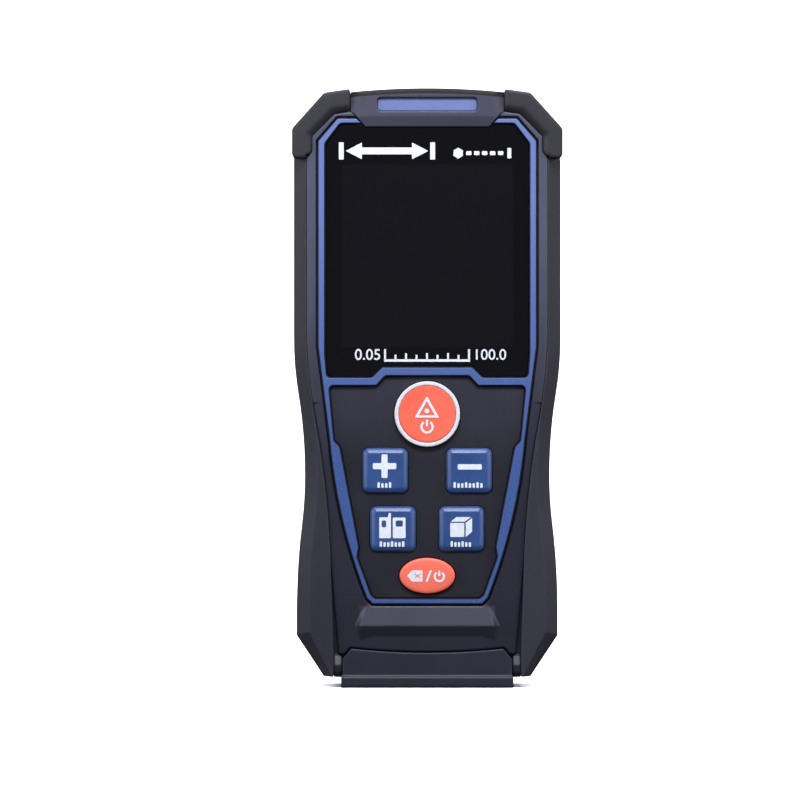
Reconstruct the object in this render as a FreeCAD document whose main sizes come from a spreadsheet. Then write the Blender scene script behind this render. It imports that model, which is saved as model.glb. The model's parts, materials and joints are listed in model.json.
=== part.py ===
import FreeCAD, Part
import math
import os
import Sketcher
from FreeCAD import Placement, Rotation, Vector

# A handheld laser distance meter, built as an assembly of its separate pieces.
# Frame: +Z up along the case (the way the laser fires), the display and keys face -Y,
# and the origin is at the bottom centre of the whole instrument.
# "Fore" is the distance in front of the case's middle plane, so y = -fore.

# Driving dimensions in millimetres: alias, value, meaning.
DIMENSIONS = [
    ("case_top", 122.0, "top of the brow's arch"),
    ("shoulder_top", 121.2, "top edge of brow and cap beside the arch"),
    ("chest_half", 27.2, "half width of the grips at the display"),
    ("chest_height", 71.0, "height where the straight chest ends"),
    ("waist_half", 24.95, "half width of the waist"),
    ("waist_height", 43.3, "height of the waist"),
    ("hip_half", 26.65, "half width of the hips"),
    ("hip_height", 15.0, "height where the hips are widest"),
    ("corner_height", 10.6, "height where the bottom chamfer starts"),
    ("foot_half", 21.1, "half width of the grips' flat bottom"),
    ("foot_height", 2.2, "height of the grips' flat bottom"),
    ("groove_depth", 0.4, "depth of the finger grooves at the waist"),
    ("groove_pitch", 2.6, "distance between the finger grooves"),
    ("face_fore", 13.9, "front and back face of the hard case"),
    ("core_fore", 12.0, "case walls under the grips' lips"),
    ("grip_wall", 2.75, "thickness of the grips at the sides"),
    ("grip_bevel", 2.5, "width of the grips' outer slope, seen from the front"),
    ("grip_bevel_depth", 3.6, "depth of the same slope"),
    ("case_wall", 1.8, "wall of the hard case"),
    ("hollow_fore", 10.4, "inside of the case's front and back wall"),
    ("bay_floor_fore", 12.2, "floor of the recess for trim, window and key panel"),
    ("bumper_half", 27.55, "half width of the bumpers"),
    ("bumper_fore", 15.0, "front and back of the bumpers"),
    ("bumper_foot", 107.8, "lower end of the bumpers"),
    ("bumper_inner_half", 23.4, "inner edge of the bumpers on the face"),
    ("bumper_slope", 1.15, "width of the bumpers' inner slope, seen from the front"),
    ("bumper_slope_depth", 0.95, "depth of the same slope"),
    ("seam_half", 24.45, "seam between case and grips at the chest"),
    ("ledge_height", 12.6, "crest of the chin under the keypad"),
    ("ledge_fore", 14.8, "crest of the chin"),
    ("ledge_half", 13.5, "half width of the chin's crest"),
    ("ledge_flank", 1.4, "width of the chin's steep ends, seen from the front"),
    ("frame_half", 22.35, "outer half width of the blue frame"),
    ("frame_foot", 16.95, "bottom of the blue frame"),
    ("frame_top", 116.0, "top of the blue frame"),
    ("frame_fore", 14.3, "front of the blue frame"),
    ("frame_groove", 0.32, "shadow gap round the frame"),
    ("window_half", 20.75, "half width of the display window"),
    ("trim_corner", 0.8, "rounding of the blue frame's corners"),
    ("window_fore", 13.7, "front of the display window"),
    ("panel_fore", 13.4, "front of the key panel"),
    ("brow_half", 15.6, "half width of the brow"),
    ("brow_fore", 14.75, "front of the brow"),
    ("key_fore", 14.4, "front of the square keys"),
    ("round_key_fore", 14.7, "front of the two orange keys"),
    ("key_gap", 0.2, "clearance round each key"),
    ("key_flange", 0.45, "overhang of a key's flange behind the panel"),
    ("key_size", 8.95, "side of a square key"),
    ("key_corner", 1.1, "rounding of a square key's corners"),
    ("on_key_radius", 5.84, "radius of the orange part of the on key"),
    ("on_ring_radius", 6.67, "outer radius of its white ring"),
    ("on_key_height", 55.7, "centre of the on key"),
    ("upper_key_x", 8.54, "centre of the upper square keys"),
    ("upper_key_height", 44.2, "centre of the upper square keys"),
    ("lower_key_x", 6.97, "centre of the lower square keys"),
    ("lower_key_height", 32.3, "centre of the lower square keys"),
    ("clear_key_height", 22.8, "centre of the oval key"),
    ("clear_key_long", 5.65, "half length of the oval key"),
    ("clear_key_short", 3.63, "half height of the oval key"),
    ("hinge_fore", -9.6, "bracket's hinge axis"),
    ("hinge_height", 4.2, "bracket's hinge axis"),
    ("hinge_pin_radius", 1.0, "bracket's hinge pin"),
    ("bracket_half", 17.2, "half width of the bracket"),
    ("bracket_plate", 1.8, "thickness of the bracket's plate"),
    ("optics_fore", -3.0, "axis of lens and laser"),
    ("receiver_x", -4.6, "axis of the receiver lens"),
    ("lens_radius", 6.6, "receiver lens"),
    ("laser_x", 9.8, "axis of the laser"),
    ("battery_radius", 5.2, "AAA cell"),
    ("battery_length", 43.5, "AAA cell without its nub"),
    ("battery_x", 5.55, "axis of each cell"),
    ("battery_fore", -6.6, "axis of each cell"),
    ("battery_foot", 15.2, "lower end of the cells"),
    ("board_front", 8.6, "front of the main board"),
    ("board_thickness", 1.0, "main board"),
    ("tripod_height", 68.0, "axis of the tripod thread"),
    ("tripod_radius", 2.6, "bore of the quarter inch thread"),
    ("screw_radius", 0.9, "shank of the housing screws"),
]

document = FreeCAD.newDocument("distance_meter")
sheet = document.addObject("Spreadsheet::Sheet", "Sizes")
for line, (alias, value, meaning) in enumerate(DIMENSIONS, start=1):
    sheet.set(f"A{line}", alias)
    sheet.set(f"B{line}", str(value))
    sheet.setAlias(f"B{line}", alias)
    sheet.set(f"C{line}", meaning)
document.recompute()


class Size:
    """A length together with the sheet formula that it comes from."""

    def __init__(self, value, formula):
        self.value = float(value)
        self.formula = formula

    def __add__(self, other):
        other = as_size(other)
        return Size(self.value + other.value, f"({self.formula} + {other.formula})")

    def __sub__(self, other):
        other = as_size(other)
        return Size(self.value - other.value, f"({self.formula} - {other.formula})")

    def __mul__(self, other):
        other = as_size(other)
        return Size(self.value * other.value, f"({self.formula} * {other.formula})")

    def __truediv__(self, other):
        other = as_size(other)
        return Size(self.value / other.value, f"({self.formula} / {other.formula})")

    def __radd__(self, other):
        return as_size(other) + self

    def __rsub__(self, other):
        return as_size(other) - self

    def __rmul__(self, other):
        return as_size(other) * self

    def __neg__(self):
        return 0 - self


def as_size(length):
    """A plain number becomes a size with itself as its formula."""
    if isinstance(length, Size):
        return length
    return Size(length, f"({float(length)})")


class Dimensions:
    """Reads a driving dimension from the sheet by its alias."""

    def __getattr__(self, alias):
        return Size(sheet.get(alias), f"Sizes.{alias}")


dims = Dimensions()
sub_parts = []


# ---------------------------------------------------------------- sketches and features

def new_body(label):
    """An empty PartDesign body that becomes one sub-part."""
    body = document.addObject("PartDesign::Body", label)
    body.Label = label
    sub_parts.append(body)
    return body


def bind(item, name, length):
    """Ties one property of a feature to its sheet formula."""
    item.setExpression(name, as_size(length).formula)


def place_corner(sketch, geometry, point, corner):
    """Fixes one corner of a sketch to its two sizes."""
    for kind, length in zip(("DistanceX", "DistanceY"), corner):
        length = as_size(length)
        index = sketch.addConstraint(Sketcher.Constraint(kind, -1, 1, geometry, point, length.value))
        sketch.setExpression(f"Constraints[{index}]", length.formula)


def arc_between(start, end, radius):
    """An arc; a positive radius bulges to the right of the way from start to end."""
    chord = end - start
    half = chord.Length / 2
    side = Vector(-chord.y, chord.x, 0).normalize() * math.copysign(1, radius)
    centre = (start + end) / 2 + side * math.sqrt(radius * radius - half * half)
    first = start - centre
    last = end - centre
    if radius < 0:
        first, last = last, first
    circle = Part.Circle(centre, Vector(0, 0, 1), abs(radius))
    return Part.ArcOfCircle(circle, math.atan2(first.y, first.x), math.atan2(last.y, last.x))


def draw_outline(sketch, corners):
    """Draws a closed outline; a corner is (x, y), or (x, y, radius) where an arc ends."""
    points = [Vector(as_size(corner[0]).value, as_size(corner[1]).value, 0) for corner in corners]
    ends = []
    for index, corner in enumerate(corners):
        start = points[index - 1]
        end = points[index]
        if len(corner) == 2:
            geometry = sketch.addGeometry(Part.LineSegment(start, end), False)
            ends.append((geometry, 1, 2))
            continue
        radius = as_size(corner[2])
        geometry = sketch.addGeometry(arc_between(start, end, radius.value), False)
        ends.append((geometry, 1, 2) if radius.value > 0 else (geometry, 2, 1))
        constraint = Sketcher.Constraint("Radius", geometry, abs(radius.value))
        number = sketch.addConstraint(constraint)
        signed = radius if radius.value > 0 else -radius
        sketch.setExpression(f"Constraints[{number}]", signed.formula)
    for index, corner in enumerate(corners):
        following = ends[(index + 1) % len(ends)]
        here = ends[index]
        sketch.addConstraint(Sketcher.Constraint("Coincident", here[0], here[2], following[0], following[1]))
        place_corner(sketch, here[0], here[2], corner[:2])


def draw_circle(sketch, x, y, radius):
    """Draws a circle with its centre and radius fixed."""
    radius = as_size(radius)
    centre = Vector(as_size(x).value, as_size(y).value, 0)
    geometry = sketch.addGeometry(Part.Circle(centre, Vector(0, 0, 1), radius.value), False)
    place_corner(sketch, geometry, 3, (x, y))
    index = sketch.addConstraint(Sketcher.Constraint("Radius", geometry, radius.value))
    sketch.setExpression(f"Constraints[{index}]", radius.formula)


def draw_ellipse(sketch, x, y, long_half, short_half):
    """Draws an ellipse, longer along x, with its centre and both axes fixed."""
    long_half = as_size(long_half)
    short_half = as_size(short_half)
    x = as_size(x)
    y = as_size(y)
    centre = Vector(x.value, y.value, 0)
    right = centre + Vector(long_half.value, 0, 0)
    top = centre + Vector(0, short_half.value, 0)
    geometry = sketch.addGeometry(Part.Ellipse(right, top, centre), False)
    sketch.exposeInternalGeometry(geometry)
    place_corner(sketch, geometry, 3, (x, y))
    long_axis = geometry + 1
    short_axis = geometry + 2
    sketch.addConstraint(Sketcher.Constraint("Horizontal", long_axis))
    for axis, half in ((long_axis, long_half), (short_axis, short_half)):
        double = half * 2
        index = sketch.addConstraint(Sketcher.Constraint("Distance", axis, double.value))
        sketch.setExpression(f"Constraints[{index}]", double.formula)


def new_sketch(body, role, offset, outlines=(), circles=(), ellipses=()):
    """A sketch on one of the body's own origin planes, moved along its normal."""
    plane = [item for item in body.Origin.OriginFeatures if item.Role == role][0]
    sketch = body.newObject("Sketcher::SketchObject", f"{body.Label}_sketch")
    sketch.AttachmentSupport = (plane, [""])
    sketch.MapMode = "FlatFace"
    sketch.AttachmentOffset = Placement(Vector(0, 0, as_size(offset).value), Rotation())
    sketch.setExpression("AttachmentOffset.Base.z", as_size(offset).formula)
    for corners in outlines:
        draw_outline(sketch, corners)
    for circle in circles:
        draw_circle(sketch, *circle)
    for ellipse in ellipses:
        draw_ellipse(sketch, *ellipse)
    return sketch


def add_feature(body, kind, role, low, high, **drawing):
    """Adds (Pad) or removes (Pocket) everything inside a drawing between two levels."""
    adding = kind == "Pad"
    sketch = new_sketch(body, role, low if adding else high, **drawing)
    feature = body.newObject(f"PartDesign::{kind}", f"{body.Label}_{kind.lower()}")
    feature.Profile = sketch
    thickness = as_size(high) - as_size(low)
    feature.Length = thickness.value
    bind(feature, "Length", thickness)
    sketch.Visibility = False
    document.recompute()
    return feature


def pad(body, role, low, high, **drawing):
    return add_feature(body, "Pad", role, low, high, **drawing)


def cut(body, role, low, high, **drawing):
    """Cuts a pocket and makes sure that it really removed material."""
    before = body.Shape.Volume
    feature = add_feature(body, "Pocket", role, low, high, **drawing)
    if body.Shape.Volume > before - 1e-3:
        raise RuntimeError(f"{body.Label}: a pocket cuts nothing")
    return feature


def edge_names(body, wanted):
    return [f"Edge{i}" for i, edge in enumerate(body.Shape.Edges, start=1) if wanted(edge)]


def fillet(body, radius, wanted):
    """Rounds the edges that a test picks."""
    base = (body.Tip, edge_names(body, wanted))
    feature = body.newObject("PartDesign::Fillet", f"{body.Label}_fillet")
    feature.Base = base
    bind(feature, "Radius", radius)
    document.recompute()
    return feature


def chamfer(body, size, wanted, second=None, flip=False):
    """Chamfers the edges that a test picks, with two sizes where a second one is given."""
    base = (body.Tip, edge_names(body, wanted))
    feature = body.newObject("PartDesign::Chamfer", f"{body.Label}_chamfer")
    feature.Base = base
    bind(feature, "Size", size)
    if second is not None:
        feature.ChamferType = "Two distances"
        bind(feature, "Size2", second)
        feature.FlipDirection = flip
    document.recompute()
    return feature


def mirror_left(body, feature):
    """Repeats a feature on the other side of the case."""
    mirrored = body.newObject("PartDesign::Mirrored", f"{body.Label}_mirror")
    mirrored.Originals = [feature]
    plane = [item for item in body.Origin.OriginFeatures if item.Role == "YZ_Plane"][0]
    mirrored.MirrorPlane = (plane, [""])
    body.Tip = mirrored
    document.recompute()
    return mirrored


# ---------------------------------------------------------------- primitives

def box(name, left, right, fore_low, fore_high, low, high):
    """A block between its six faces; the fore sizes run towards the front."""
    block = document.addObject("Part::Box", name)
    bind(block, "Length", as_size(right) - as_size(left))
    bind(block, "Width", as_size(fore_high) - as_size(fore_low))
    bind(block, "Height", as_size(high) - as_size(low))
    bind(block, "Placement.Base.x", left)
    bind(block, "Placement.Base.y", -as_size(fore_high))
    bind(block, "Placement.Base.z", low)
    return block


AXIS_TURNS = {
    "up": Rotation(),
    "back": Rotation(Vector(1, 0, 0), -90),
    "right": Rotation(Vector(0, 1, 0), 90),
}


def cylinder(name, axis, x, fore, height, radius, length):
    """A round bar that starts at a point and runs up, back or right."""
    bar = document.addObject("Part::Cylinder", name)
    bar.Placement = Placement(Vector(), AXIS_TURNS[axis])
    bind(bar, "Radius", radius)
    bind(bar, "Height", length)
    bind(bar, "Placement.Base.x", x)
    bind(bar, "Placement.Base.y", -as_size(fore))
    bind(bar, "Placement.Base.z", height)
    return bar


def joined(name, pieces):
    """One solid, or a group of separate ones, made of several primitives."""
    group = document.addObject("Part::MultiFuse", name)
    group.Shapes = pieces
    return group


def finished(item, label):
    """Takes a boolean result or a primitive as a sub-part."""
    item.Label = label
    sub_parts.append(item)
    return item


# ---------------------------------------------------------------- outlines (seen from the front)

def both_sides(half):
    """Closes an outline: the right half from bottom to top, then its mirror image back down."""
    left = []
    for index in range(len(half) - 1, -1, -1):
        x, height = half[index][:2]
        arriving = half[index + 1] if index + 1 < len(half) else ()
        left.append((-as_size(x), height) + tuple(arriving[2:]))
    return list(half) + left


def rectangle(left, right, low, high):
    return [(left, low), (right, low), (right, high), (left, high)]


def flank(inset):
    """The side of the case from hip to chest, as four arcs that meet smoothly."""
    hip_share = 0.353
    chest_share = 0.397
    corners = [(dims.hip_half - inset, dims.hip_height)]
    waist = (dims.waist_half - inset, dims.waist_height)
    hip_rise = dims.waist_height - dims.hip_height
    hip_swell = dims.hip_half - dims.waist_half
    chest_rise = dims.chest_height - dims.waist_height
    chest_swell = dims.chest_half - dims.waist_half
    hip_bend = (waist[0] + hip_share * hip_swell, waist[1] - hip_share * hip_rise)
    chest_bend = (waist[0] + (1 - chest_share) * chest_swell, waist[1] + (1 - chest_share) * chest_rise)
    corners.append(hip_bend + (bend_radius(hip_rise * (1 - hip_share), hip_swell * (1 - hip_share)),))
    corners.append(waist + (-bend_radius(hip_rise * hip_share, hip_swell * hip_share),))
    lower_chest = bend_radius(chest_rise * (1 - chest_share), chest_swell * (1 - chest_share))
    corners.append(chest_bend + (-lower_chest,))
    upper_chest = bend_radius(chest_rise * chest_share, chest_swell * chest_share)
    corners.append((dims.chest_half - inset, dims.chest_height, upper_chest))
    return corners


def bend_radius(rise, swell):
    """The radius of an arc that starts upright and moves sideways by swell over rise."""
    return rise * rise / (2 * swell) + swell / 2


def shoulder(inset):
    """The case's top corner under the bumper, up to the brow."""
    return [
        (dims.seam_half - inset, 111.9 - 0.4 * as_size(inset)),
        (19.5 - 0.4 * as_size(inset), 116.65 - as_size(inset)),
        (15.7, 117.2 - as_size(inset)),
    ]


def core_half(inset=0.0):
    """The hard case under the grips: one wall thickness inside the outer shape."""
    inset = as_size(inset)
    return [
        (19.0 - inset, 2.1 + inset),
        (19.0 - inset, 6.9 + inset),
        (21.2 - inset, 6.9 + inset),
        (dims.hip_half - dims.grip_wall - inset, 11.2 + inset),
    ] + flank(dims.grip_wall + inset) + shoulder(inset)


def seam_half_outline(gap, foot):
    """The seam from the bracket's ears up to the chest; the gap is added on the grip's side."""
    return [
        foot,
        (19.7 + 0.33 * gap, 27.0),
        (21.9 + gap, 50.0, -210.0),
        (dims.seam_half + gap, dims.chest_height, 140.0),
    ]


def under_bumper(gap=0.0):
    """The edge of the raised face along the bumper's inner side."""
    gap = as_size(gap)
    return [
        (dims.seam_half + gap, dims.bumper_foot + gap),
        (dims.bumper_inner_half + gap, dims.bumper_foot + 1.25 + gap),
        (dims.bumper_inner_half + gap, 112.2),
        (18.9 + gap, 116.7 + 0.05),
        (15.7, 117.2 + gap),
    ]


def face_half():
    """The raised face of the hard case between the two grips."""
    return seam_half_outline(as_size(0), (18.0, 6.9)) + under_bumper()


def frame_half_outline(gap=0.0):
    """The outside of the blue frame."""
    gap = as_size(gap)
    return [
        (11.2, dims.frame_foot - gap),
        (12.4 + gap, 18.2 - 0.5 * gap),
        (20.0 + gap, 50.8, 117.0),
        (dims.frame_half + gap, 69.5),
        (dims.frame_half + gap, 111.3 + 0.4 * gap),
        (18.3 + 0.4 * gap, dims.frame_top + gap),
    ]


def window_half_outline(gap=0.0):
    """The opening for the display window, with the notch over the crossbar."""
    gap = as_size(gap)
    return [
        (9.2 - 0.4 * gap, 65.35 + gap),
        (11.3 - 0.4 * gap, 63.25 + gap),
        (20.4 - gap, 63.25 + gap),
        (dims.window_half - gap, 68.0),
        (dims.window_half - gap, 110.7 - 0.4 * gap),
        (17.7 - 0.4 * gap, 114.75 - gap),
    ]


def window_glass_half():
    """The window itself, cut back along the brow."""
    return window_half_outline(0.12) + [(13.25, 114.63), (12.75, 114.1)]


def keypad_half_outline(gap=0.0):
    """The opening for the key panel, narrower beside the blue keys."""
    gap = as_size(gap)
    return [
        (10.6 - gap, 18.2 + gap),
        (11.4 - gap, 18.9 + 0.5 * gap),
        (14.2 - gap, 26.6 + 0.3 * gap),
        (13.85 - gap, 28.6 + 0.3 * gap),
        (17.7 - gap, 49.0 + 0.3 * gap),
        (18.9 - gap, 50.3 + 0.3 * gap),
        (19.95 - gap, 61.4 - gap),
        (10.3 - 0.4 * gap, 61.4 - gap),
        (8.5 - 0.4 * gap, 63.4 - gap),
    ]


def brow_half_outline(gap=0.0):
    """The brow: a slanted lower end, straight sides, and an arch on top."""
    gap = as_size(gap)
    return [
        (12.6 + gap, 114.2 - gap),
        (14.8 + gap, 116.8 - 0.3 * gap),
        (dims.brow_half, 117.25),
        (dims.brow_half, dims.shoulder_top),
    ]


def square_key_outline(x, height, grow=0.0):
    """A square key, slightly wider at its foot."""
    half = dims.key_size / 2 + grow
    flare = 0.12
    return [
        (x - half - flare, height - half),
        (x + half + flare, height - half),
        (x + half, height + half),
        (x - half, height + half),
    ]


SQUARE_KEYS = {
    "add_key": (-dims.upper_key_x, dims.upper_key_height),
    "subtract_key": (dims.upper_key_x, dims.upper_key_height),
    "section_key": (-dims.lower_key_x, dims.lower_key_height),
    "units_key": (dims.lower_key_x, dims.lower_key_height),
}

SCREW_PLACES = [(-18.6, 111.4), (18.6, 111.4), (-15.6, 13.4), (15.6, 13.4)]
GROOVE_COUNT = 8
BOARD_SCREW_PLACES = [(-17.4, 63.2), (17.4, 63.2), (-17.0, 20.5), (17.0, 20.5)]


# ---------------------------------------------------------------- edge tests

def upright_to_face(edge):
    """Straight edges that run front to back."""
    ends = [vertex.Point for vertex in edge.Vertexes]
    return len(ends) == 2 and (ends[0] - ends[1]).cross(Vector(0, 1, 0)).Length < 1e-4


def beside_a_square_key(edge):
    """Upright edges at the corners of the panel's square openings."""
    middle = edge.BoundBox.Center
    reach = 0.55 * dims.key_size.value
    near = [abs(middle.x - as_size(x).value) < reach and abs(middle.z - as_size(height).value) < reach
            for x, height in SQUARE_KEYS.values()]
    return upright_to_face(edge) and any(near)


def at_fore(level):
    """Edges that lie wholly in one plane parallel to the face."""
    def wanted(edge):
        box_of_edge = edge.BoundBox
        return abs(box_of_edge.YMin + level) < 1e-3 and abs(box_of_edge.YMax + level) < 1e-3
    return wanted


# ---------------------------------------------------------------- housing

def rounds(places, radius):
    """The same circle at several places of the face."""
    return [(x, height, radius) for x, height in places]


def make_front_shell():
    """The front half of the hard case, with the recess for the face and a hollow back."""
    body = new_body("front_shell")
    core = both_sides(core_half())
    pad(body, "XZ_Plane", 0, dims.core_fore, outlines=[core])
    pad(body, "XZ_Plane", dims.core_fore, dims.face_fore, outlines=[both_sides(face_half())])
    flank_cut(body)
    chin(body)
    hollow = both_sides(core_half(dims.case_wall))
    scoop(body, 0, dims.hollow_fore, hollow)
    frame_seat = both_sides(frame_half_outline(dims.frame_groove))
    cut(body, "XZ_Plane", dims.bay_floor_fore, 16, outlines=[frame_seat])
    brow_seat = both_sides(brow_half_outline(0.05)[:2] + [(dims.brow_half + 0.1, 117.25)])
    cut(body, "XZ_Plane", dims.bay_floor_fore, 16, outlines=[brow_seat])
    display_opening = rectangle(-18.3, 18.3, 68.7, 107.1)
    cut(body, "XZ_Plane", 10, 16, outlines=[display_opening])
    key_openings(body)
    bracket_recess = [(-17.5, 1), (17.5, 1), (17.5, 6.1), (15.7, 8.3), (-15.7, 8.3, -141.0), (-17.5, 6.1)]
    cut(body, "XZ_Plane", 12.5, 16, outlines=[bracket_recess])
    knuckles(body)
    pad(body, "XZ_Plane", 0, 10.6, circles=rounds(SCREW_PLACES, 2.2))
    cut(body, "XZ_Plane", -1, 7, circles=rounds(SCREW_PLACES, 0.93))
    pad(body, "XZ_Plane", dims.board_front, 10.6, circles=rounds(BOARD_SCREW_PLACES, 1.7))
    cut(body, "XZ_Plane", 8, 11.4, circles=rounds(BOARD_SCREW_PLACES, 0.68))
    optics_opening(body, -1, 5.4)
    seal_groove(body, -1, 0.3)


def scoop(body, low, high, corners):
    """Hollows a half of the case out from its parting plane."""
    return cut(body, "XZ_Plane", low, high, outlines=[corners])


def flank_cut(body):
    """The face slopes away from the lower frame towards the seams, as one flat facet a side."""
    section_low = new_sketch(body, "XY_Plane", 6, outlines=[
        [(9.6, -dims.face_fore - 0.05), (9.7, -16.5), (22.0, -16.5), (22.0, -12.45)]])
    section_high = new_sketch(body, "XY_Plane", 58, outlines=[
        [(21.2, -dims.face_fore - 0.05), (21.3, -16.5), (24.5, -16.5), (24.5, -13.45)]])
    loft = body.newObject("PartDesign::SubtractiveLoft", "flank_facet")
    loft.Profile = section_low
    loft.Sections = [section_high]
    loft.Ruled = True
    document.recompute()
    mirror_left(body, loft)


def chin(body):
    """The chin: a facet that rises to a crest below the keypad, then falls back to the bracket."""
    crest = dims.ledge_half
    flank = dims.ledge_flank
    levels = [
        (7.4, crest + 0.2, 12.6, crest + 0.2 + flank, 12.4),
        (dims.ledge_height, crest, dims.ledge_fore, crest + flank, 13.2),
        (17.0, crest - 1.3, dims.face_fore, crest - 1.3 + flank, 13.3),
    ]
    sections = []
    for height, front_half, front, side_half, side in levels:
        half = [(side_half, -11.9), (side_half, -as_size(side)), (front_half, -as_size(front))]
        mirrored = [(-as_size(x), y) for x, y in reversed(half)]
        sections.append(new_sketch(body, "XY_Plane", height, outlines=[half + mirrored]))
    loft = body.newObject("PartDesign::AdditiveLoft", "chin_facets")
    loft.Profile = sections[0]
    loft.Sections = sections[1:]
    loft.Ruled = True
    document.recompute()


def knuckles(body):
    """The two lugs beside the bracket that close the lower ends of the seams."""
    profile = [(-11.9, 2.5), (-13.2, 2.5), (-13.6, 3.3), (-13.6, 4.6), (-12.9, 6.5), (-11.9, 6.5)]
    feature = pad(body, "YZ_Plane", 17.42, 19.0, outlines=[profile])
    mirror_left(body, feature)


def key_openings(body):
    """Holes behind the key panel, wide enough for each key's flange."""
    margin = dims.key_flange + 0.4
    for x, height in SQUARE_KEYS.values():
        cut(body, "XZ_Plane", 10, 12.6, outlines=[square_key_outline(x, height, margin)])
    round_hole = (0, dims.on_key_height, dims.on_ring_radius + margin)
    cut(body, "XZ_Plane", 10, 12.6, circles=[round_hole])
    oval = (0, dims.clear_key_height, dims.clear_key_long + margin, dims.clear_key_short + margin)
    cut(body, "XZ_Plane", 10, 12.6, ellipses=[oval])


def optics_opening(body, low, high):
    """The gap in the case's top wall that the optics look through."""
    cut(body, "XZ_Plane", low, high, outlines=[rectangle(-13.4, 14.6, 114, 118)])


def seal_groove(body, low, high):
    """Half of the groove for the gasket in the parting plane."""
    outer = both_sides(core_half(0.5)[3:])
    inner = both_sides(core_half(1.3)[3:])
    cut(body, "XZ_Plane", low, high, outlines=[outer, inner])


def make_rear_shell():
    """The rear half of the hard case: battery bay, tripod boss, hinge lugs and screw bosses."""
    body = new_body("rear_shell")
    pad(body, "XZ_Plane", -dims.core_fore, 0, outlines=[both_sides(core_half())])
    pad(body, "XZ_Plane", -dims.face_fore, -dims.core_fore, outlines=[both_sides(face_half())])
    cut(body, "XZ_Plane", -dims.hollow_fore, 0, outlines=[both_sides(core_half(dims.case_wall))])
    deeper = both_sides([(15.8, 10.2), (18.2, 30), (21, 68), (21, 108)])
    cut(body, "XZ_Plane", -12.1, -10, outlines=[deeper])
    pad(body, "XZ_Plane", -12.6, 0.3, outlines=[rectangle(-12.9, 12.9, 10.3, 61.6)])
    pad(body, "XZ_Plane", -12.6, 0, circles=rounds(SCREW_PLACES, 2.2))
    pad(body, "XZ_Plane", -12.6, -6.4, circles=[(0, dims.tripod_height, 6.2)])
    hinge_notch = rectangle(5.1, 16, 1, 8.7)
    cut(body, "YZ_Plane", -17.5, 17.5, outlines=[hinge_notch])
    bay = rectangle(-11.7, 11.7, 11.5, 60.4)
    cut(body, "XZ_Plane", -16, -0.9, outlines=[bay])
    door_seat = rectangle(-13.3, 13.3, 9.9, 63.3)
    cut(body, "XZ_Plane", -16, -12.3, outlines=[door_seat])
    cut(body, "XZ_Plane", -16, -11.7, circles=rounds(SCREW_PLACES, 1.75))
    cut(body, "XZ_Plane", -16, 1, circles=rounds(SCREW_PLACES, 1.05))
    cut(body, "XZ_Plane", -16, -7.2, circles=[(0, dims.tripod_height, 4.5)])
    cut(body, "XZ_Plane", -16, -6, circles=[(0, dims.tripod_height, 3.4)])
    lug_bore = [(-dims.hinge_fore, dims.hinge_height, dims.hinge_pin_radius)]
    cut(body, "YZ_Plane", -19.5, 19.5, circles=lug_bore)
    label_seat = rectangle(-15, 15, 78, 108)
    cut(body, "XZ_Plane", -16, -13.5, outlines=[label_seat])
    optics_opening(body, -11.8, 1)
    seal_groove(body, -0.3, 1)


def grip_half(inset):
    """The right grip seen from the front; the inset narrows its outer side only."""
    seam = seam_half_outline(as_size(0.1), (19.1, 6.9))
    top = dims.bumper_foot - 0.05
    corners = seam + [(dims.seam_half + 0.1, top), (dims.chest_half - inset, top)]
    outer = flank(inset)
    for index in range(len(outer) - 1, -1, -1):
        arriving = outer[index + 1][2:] if index + 1 < len(outer) else ()
        corners.append(outer[index][:2] + tuple(-radius for radius in arriving))
    corners.append((dims.hip_half - inset, dims.corner_height + 0.3 * inset))
    corners.append((dims.foot_half - 0.6 * inset, dims.foot_height))
    corners.append((19.1, dims.foot_height))
    return corners


def flipped(corners):
    """The mirror image of an outline about the middle plane."""
    return [(-as_size(corner[0]), corner[1]) + tuple(-as_size(r) for r in corner[2:]) for corner in corners]


def bevel(body, role, low, low_outline, high, high_outline):
    """A sloped layer between two outlines with the same number of corners."""
    first = new_sketch(body, role, low, outlines=[low_outline])
    last = new_sketch(body, role, high, outlines=[high_outline])
    loft = body.newObject("PartDesign::AdditiveLoft", f"{body.Label}_bevel")
    loft.Profile = first
    loft.Sections = [last]
    loft.Ruled = True
    document.recompute()


def make_grip(label, side):
    """A soft side grip that wraps the case's edge, front and back."""
    body = new_body(label)
    full = grip_half(as_size(0))
    narrow = grip_half(dims.grip_bevel)
    channel = [(15.0, 6.9)] + core_half(-0.02)[2:-2] + [(15.0, 118.0)]
    if side < 0:
        full = flipped(full)
        narrow = flipped(narrow)
        channel = flipped(channel)
    shoulder_fore = dims.face_fore - dims.grip_bevel_depth
    pad(body, "XZ_Plane", -shoulder_fore, shoulder_fore, outlines=[full])
    bevel(body, "XZ_Plane", shoulder_fore, full, dims.face_fore, narrow)
    bevel(body, "XZ_Plane", -shoulder_fore, full, -dims.face_fore, narrow)
    cut(body, "XZ_Plane", -dims.core_fore, dims.core_fore, outlines=[channel])
    groove_floor = dims.waist_half - dims.groove_depth
    reach = [groove_floor, 28.0] if side > 0 else [-28.0, -groove_floor]
    cut(body, "YZ_Plane", *reach, outlines=side_grooves())


def side_grooves():
    """The finger grooves across a grip's waist, seen from the side."""
    half_length = 8.0
    half_width = 0.5
    lowest = dims.waist_height - dims.groove_pitch * (GROOVE_COUNT - 1) / 2
    outlines = []
    for index in range(GROOVE_COUNT):
        height = lowest + dims.groove_pitch * index
        outlines.append(rectangle(-half_length, half_length, height - half_width, height + half_width))
    return outlines


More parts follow.
